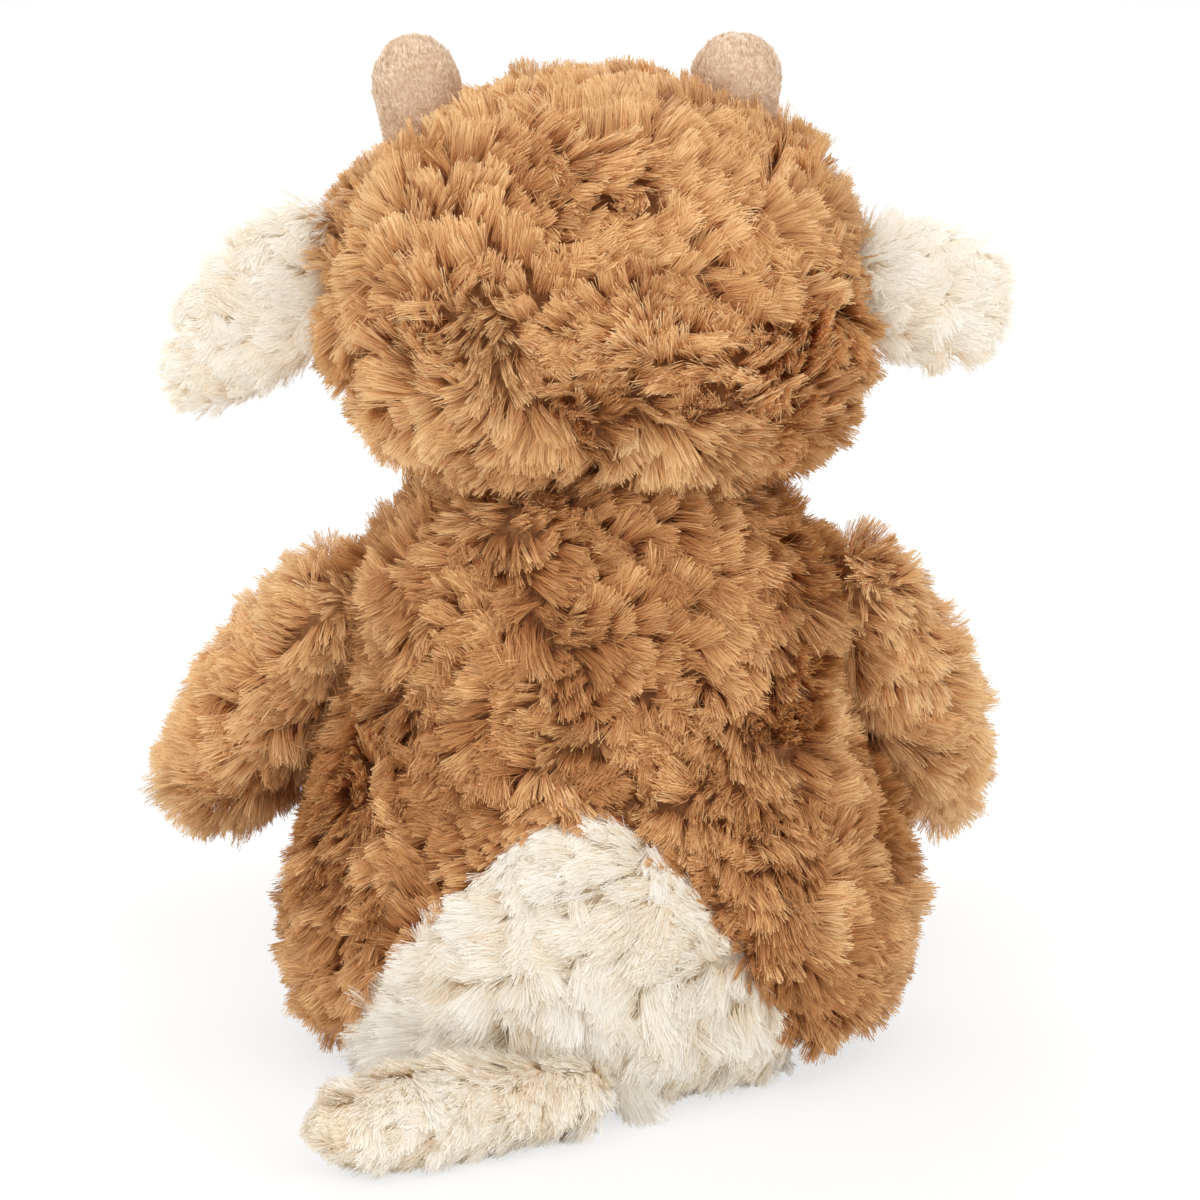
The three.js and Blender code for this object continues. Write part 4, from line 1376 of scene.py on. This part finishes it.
def ear_skin(name, side, half_thickness, inset):
    """A flat leaf, rooted in the head's pile, that swells, closes in a blunt tip and droops."""
    root = joint_place(f"{side}_ear_flap")
    length = EAR_LENGTH[side]
    leaf = Limb(
        (0, 0, 0), (1, 0, 0), EAR_ROOT_HALF_WIDTH, EAR_HALF_WIDTH, length, length * 0.35, bluntness=2.2
    )
    line = leaf.profile()
    line[:, 1] = np.where(line[:, 1] < 0, line[:, 1] * EAR_ROOT_DEPTH / EAR_ROOT_HALF_WIDTH, line[:, 1])
    line = drawn_in(line, inset * (0.2 + 0.8 * ease(0, 0.5 * length, line[:, 1]))[:, None])

    def shape(share, around):
        ring = along_line(line, share)
        x = ring[:, 1]
        y = half_thickness * ring[:, 0] / EAR_HALF_WIDTH * np.sin(around)
        z = ring[:, 0] * np.cos(around) / cos(EAR_DROOP[side]) - tan(EAR_DROOP[side]) * np.maximum(x, 0)
        return np.stack([SIDES[side] * x, y, z], axis=1) + root

    return shaped_ball(name, shape, 40, 36)


class PLUSHCOW_OT_ears(bpy.types.Operator):
    """Two ears: cream long pile behind, short beige pile in front"""

    bl_idname = "plush_cow.ears"
    bl_label = "Ears"

    def execute(self, context):
        pile = pile_settings(
            length=8 * MM, hair=0.2 * MM, density=1700, rise=54, fall=87, lock=14 * MM, ridge=5.5 * MM,
            wander=0.2, jitter=0.2, lift=3, lay=3, steps=0.08, narrowing=0.12, relief=0.06, stray=0.006,
            shade=0.5,
        )
        for i, side in enumerate(SIDES):
            droop = EAR_DROOP[side]
            along = np.array([SIDES[side] * cos(droop), 0, -sin(droop)])
            root = joint_place(f"{side}_ear_flap")

            def flow(at, facing, along=along, root=root):
                """To the tip, and outwards to the edges."""
                middle = root + np.outer((at - root) @ along, along)
                return along + (at - middle) * [0, 0, 30]

            def stand(at, facing, along=along, root=root, length=EAR_LENGTH[side]):
                """Longer where it covers the seam, shorter towards the tip."""
                far = (at - root) @ along / length
                near_root = 1 - ease(0, 0.3, far)
                share = 1 + 0.15 * near_root - 0.3 * ease(0.6, 1, far)
                return {"share": share, "flatter": -12 * near_root, "unrest": 0.4}

            def behind(at, facing):
                return facing[:, 1] > -0.35

            def in_front(at, facing):
                return facing[:, 1] < 0.1

            skin = ear_skin(f"{side}_ear_skin", side, 3.2 * MM, 2.4 * MM)
            lump(skin, 0.5 * MM, 12 * MM, 41 + i)
            dress(
                skin, "cream", f"{side}_ear", f"{side}_ear_back", pile, flow, 500 + i,
                {f"{side}_ear_pile": everywhere}, stand, behind,
            )
            lining = ear_skin(f"{side}_ear_lining_skin", side, 1.6 * MM, 4.5 * MM)
            set_points(lining.data, get_points(lining.data) - [0, 2.4 * MM, 0])
            dress(
                lining, "beige", f"{side}_ear", f"{side}_ear_lining", short_pile_settings(), flow,
                520 + i, {f"{side}_ear_lining_pile": everywhere}, keep=in_front,
            )
        return {"FINISHED"}


HORN_LENGTH = 26.5 * MM
HORN_SINK = 6 * MM
HORN_DEPTH_SHARE = 0.88
HORN_ROOT_SHARE = 0.93
HORN_TOP_DEPTH = {"left": 1.2 * MM, "right": 3.5 * MM}
HORN_LEAN = {"left": radians(10), "right": radians(3)}


class PLUSHCOW_OT_horns(bpy.types.Operator):
    """Two short horns in beige short pile, stuffed, flattened and slightly bent"""

    bl_idname = "plush_cow.horns"
    bl_label = "Horns"

    def execute(self, context):
        pile = short_pile_settings(
            length=1.9 * MM, hair=0.13 * MM, density=1600, rise=46, fall=80, lock=12 * MM, wander=0.1,
            curl=0.1, jitter=0.12, lay=3, lift=2,
        )
        for i, side in enumerate(SIDES):
            low, high = node_box(f"{side}_horn")
            middle = (low + high) / 2
            radius = (high[0] - low[0]) / 2 + 0.3 * MM
            root = radius * HORN_ROOT_SHARE
            form = Limb((0, 0, 0), (0, 0, 1), root, radius, HORN_LENGTH, HORN_LENGTH / 2, bluntness=2.1)
            line = form.profile()
            ends = [low[2] - HORN_SINK, high[2] - HORN_TOP_DEPTH[side]]
            line[:, 1] = np.interp(line[:, 1], [line[0, 1], line[-1, 1]], ends)

            def shape(share, around, line=line, side=side, middle=middle):
                ring = along_line(line, share)
                lean = tan(HORN_LEAN[side]) * (ring[:, 1] - middle[2]) * SIDES[side]
                x = ring[:, 0] * np.cos(around) + middle[0] + 0.5 * lean
                y = HORN_DEPTH_SHARE * ring[:, 0] * np.sin(around) + middle[1]
                return np.stack([x, y, ring[:, 1]], axis=1)

            def above_seam(at, facing, lowest=low[2] - 2 * MM):
                return at[:, 2] > lowest

            skin = shaped_ball(f"{side}_horn_skin", shape, 40, 36)
            lump(skin, 0.45 * MM, 9 * MM, 61 + i)
            dress(
                skin, "beige", "head", f"{side}_horn", pile, upward, 600 + i,
                {f"{side}_horn_pile": everywhere}, keep=above_seam,
            )
        return {"FINISHED"}


class PLUSHCOW_OT_face(bpy.types.Operator):
    """Cream muzzle, satin-stitched nostrils and polished eyes"""

    bl_idname = "plush_cow.face"
    bl_label = "Face"

    def execute(self, context):
        self.muzzle()
        for side in SIDES:
            finish_node(f"{side}_eye", eye_plastic())
            finish_node(f"{side}_nostril", nostril_thread())
        return {"FINISHED"}

    def muzzle(self):
        """A soft dome, sunk in the head's pile, with shorter pile round the nostrils."""
        low, high = node_box("muzzle")
        half_depth = 20 * MM
        centre = np.array([(low[0] + high[0]) / 2, low[1] + half_depth, (low[2] + high[2]) / 2])
        radii = np.array([(high[0] - low[0]) / 2, half_depth, (high[2] - low[2]) / 2]) - 4 * MM
        nostrils = [node_middle(f"{side}_nostril") for side in SIDES]

        def shape(share, around):
            ring = np.sin(share * pi)
            directions = [ring * np.cos(around), ring * np.sin(around), -np.cos(share * pi)]
            return centre + np.stack(directions, axis=1) * radii

        def flow(at, facing):
            return (at - centre) * [1, 0, 1] + [0, 0, -4 * MM]

        def stand(at, facing):
            share = np.ones(len(at))
            for nostril in nostrils:
                share = np.minimum(share, ease(3 * MM, 9 * MM, apart(at, nostril)))
            return {"share": 0.35 + 0.65 * share}

        skin = shaped_ball("muzzle_skin", shape, 56, 40)
        lump(skin, 0.6 * MM, 15 * MM, 71)
        pile = pile_settings(
            length=6.5 * MM, density=1000, rise=35, lock=10 * MM, ridge=4 * MM, wisp=0.7 * MM, wander=0.25,
            jitter=0.3, steps=0.25, lay=4, lift=4,
        )
        dress(skin, "cream", "head", "muzzle", pile, flow, 700, {"muzzle_pile": everywhere}, stand)


class PLUSHCOW_OT_inside(bpy.types.Operator):
    """Filling, pellet bag, washers and neck thread"""

    bl_idname = "plush_cow.inside"
    bl_label = "Inside"

    def execute(self, context):
        cover = context.scene.plush_cow_cover
        deeper = cover.filling_depth
        self.fill("body", body_skin("body_filling", cover.body_depth + deeper, 64, 48), 90)
        # the head's filling stays under the skin where that is drawn in
        self.fill("head", head_skin("head_filling", cover.body_depth + deeper + 2 * MM, 64, 48), 90)
        limbs = {f"{side}_arm": (arm(side), cover.arm_depth) for side in SIDES}
        limbs.update({f"{side}_leg": (leg(side), cover.leg_depth) for side in SIDES})
        limbs["tail"] = tail(), cover.tail_depth
        for name, (limb, depth) in limbs.items():
            self.fill(name, limb.skin(f"{name}_filling", depth + deeper, segments=32, rings=28), 95)
        finish_node("pellet_bag", woven_cloth())
        for side in SIDES:
            finish_node(f"{side}_eye_washer", washer_plastic())
        finish_node("neck_thread", neck_thread())
        return {"FINISHED"}

    def fill(self, body, filling, seed):
        """Makes a filling uneven and hangs it on its body."""
        lump(filling, -0.6 * MM, 9 * MM, seed)
        hang(filling, body, loose_fibre())
        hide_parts(f"{body}_stuffing")


class PLUSHCOW_OT_stage(bpy.types.Operator):
    """Camera at the photograph's angle, pale floor and soft lamps"""

    bl_idname = "plush_cow.stage"
    bl_label = "Stage"

    def execute(self, context):
        self.camera(context.scene, context.scene.plush_cow_stage)
        self.floor()
        self.lamps(context.scene)
        context.scene.world = self.world()
        context.scene.view_settings.view_transform = "Standard"
        return {"FINISHED"}

    def camera(self, scene, stage):
        """Straight behind the toy. Its axis meets the picture a little above the picture's middle."""
        data = bpy.data.cameras.new("camera")
        data.sensor_width = 36
        data.lens = data.sensor_width * stage.distance / stage.view_width
        data.shift_y = -40 / 1200
        data.clip_start = 0.05
        data.clip_end = 20
        back = stage.distance * cos(stage.elevation)
        up = stage.distance * sin(stage.elevation)
        camera = bpy.data.objects.new("camera", data)
        camera.location = (stage.aside, back, stage.aim_height + up)
        camera.rotation_euler = Euler((pi / 2 - stage.elevation, 0, pi))
        scene.collection.objects.link(camera)
        scene.camera = camera

    def floor(self):
        """A white paper sweep. The camera sees it white, with part of the toy's shadow."""
        select_nothing()
        bpy.ops.mesh.primitive_plane_add(size=6, location=(0, 0, 0))
        floor = bpy.context.object
        floor.name = "floor"
        tree = new_material("white paper sweep")
        paper = tree.add("BsdfPrincipled", {"Base Color": colour("#F4F3F0"), "Roughness": 0.9})
        white = tree.add("Emission", {"Color": WHITE, "Strength": 1.0})
        seen = tree.add("LightPath").outputs["Is Camera Ray"]
        share = tree.add("Math", {0: seen, 1: 0.7}, operation="MULTIPLY")
        mix = tree.add("MixShader", {0: share.outputs[0], 1: paper.outputs[0], 2: white.outputs[0]})
        floor.data.materials.append(tree.finish(mix))

    def lamps(self, scene):
        """A broad key from the photographer's side, a fill from the other side and one over the front."""
        for name, place, size, power in (
            ("key", (-0.9, 1.2, 1.6), 2.0, 16),
            ("fill", (1.2, 1.1, 1.2), 2.0, 11.5),
            ("front", (0.3, -1.4, 1.2), 1.4, 12),
        ):
            data = bpy.data.lights.new(name, "AREA")
            data.size = size
            data.energy = power
            lamp = bpy.data.objects.new(name, data)
            lamp.location = place
            lamp.rotation_euler = (Vector((0, 0, 0.12)) - Vector(place)).to_track_quat("-Z", "Y").to_euler()
            scene.collection.objects.link(lamp)

    def world(self):
        """Soft light from all round, and white where the camera sees past the floor."""
        tree = Tree(bpy.data.worlds.new("studio"))
        seen = tree.add("LightPath").outputs["Is Camera Ray"]
        soft = tree.add("Background", {"Color": WHITE, "Strength": 0.84})
        white = tree.add("Background", {"Color": WHITE, "Strength": 1.0})
        mix = tree.add("MixShader", {0: seen, 1: soft.outputs[0], 2: white.outputs[0]})
        return tree.finish(mix, "OutputWorld")


class PLUSHCOW_PT_panel(bpy.types.Panel):
    """Lists the makers of the plush cow's pieces"""

    bl_label = "Plush Cow"
    bl_idname = "PLUSHCOW_PT_panel"
    bl_space_type = "VIEW_3D"
    bl_region_type = "UI"
    bl_category = "Plush Cow"

    def draw(self, context):
        for group in GROUPS:
            settings = getattr(context.scene, group)
            box = self.layout.box()
            for name in settings.__annotations__:
                box.prop(settings, name)
        for operator in OPERATORS:
            self.layout.operator(operator.bl_idname)


GROUPS = {
    "plush_cow_cover": PlushCowCover,
    "plush_cow_pile": PlushCowPile,
    "plush_cow_short_pile": PlushCowShortPile,
    "plush_cow_stage": PlushCowStage,
}
OPERATORS = (
    PLUSHCOW_OT_stage,
    PLUSHCOW_OT_body,
    PLUSHCOW_OT_head,
    PLUSHCOW_OT_arms,
    PLUSHCOW_OT_legs,
    PLUSHCOW_OT_tail,
    PLUSHCOW_OT_ears,
    PLUSHCOW_OT_horns,
    PLUSHCOW_OT_face,
    PLUSHCOW_OT_inside,
)


def register():
    for name, group in GROUPS.items():
        bpy.utils.register_class(group)
        setattr(bpy.types.Scene, name, bpy.props.PointerProperty(type=group))
    for maker in (*OPERATORS, PLUSHCOW_PT_panel):
        bpy.utils.register_class(maker)


def unregister():
    for maker in (PLUSHCOW_PT_panel, *reversed(OPERATORS)):
        bpy.utils.unregister_class(maker)
    for name, group in GROUPS.items():
        delattr(bpy.types.Scene, name)
        bpy.utils.unregister_class(group)


def main():
    register()
    bpy.ops.plush_cow.stage()
    bpy.ops.plush_cow.body()
    bpy.ops.plush_cow.head()
    bpy.ops.plush_cow.arms()
    bpy.ops.plush_cow.legs()
    bpy.ops.plush_cow.tail()
    bpy.ops.plush_cow.ears()
    bpy.ops.plush_cow.horns()
    bpy.ops.plush_cow.face()
    bpy.ops.plush_cow.inside()


if __name__ == "__main__":
    main()
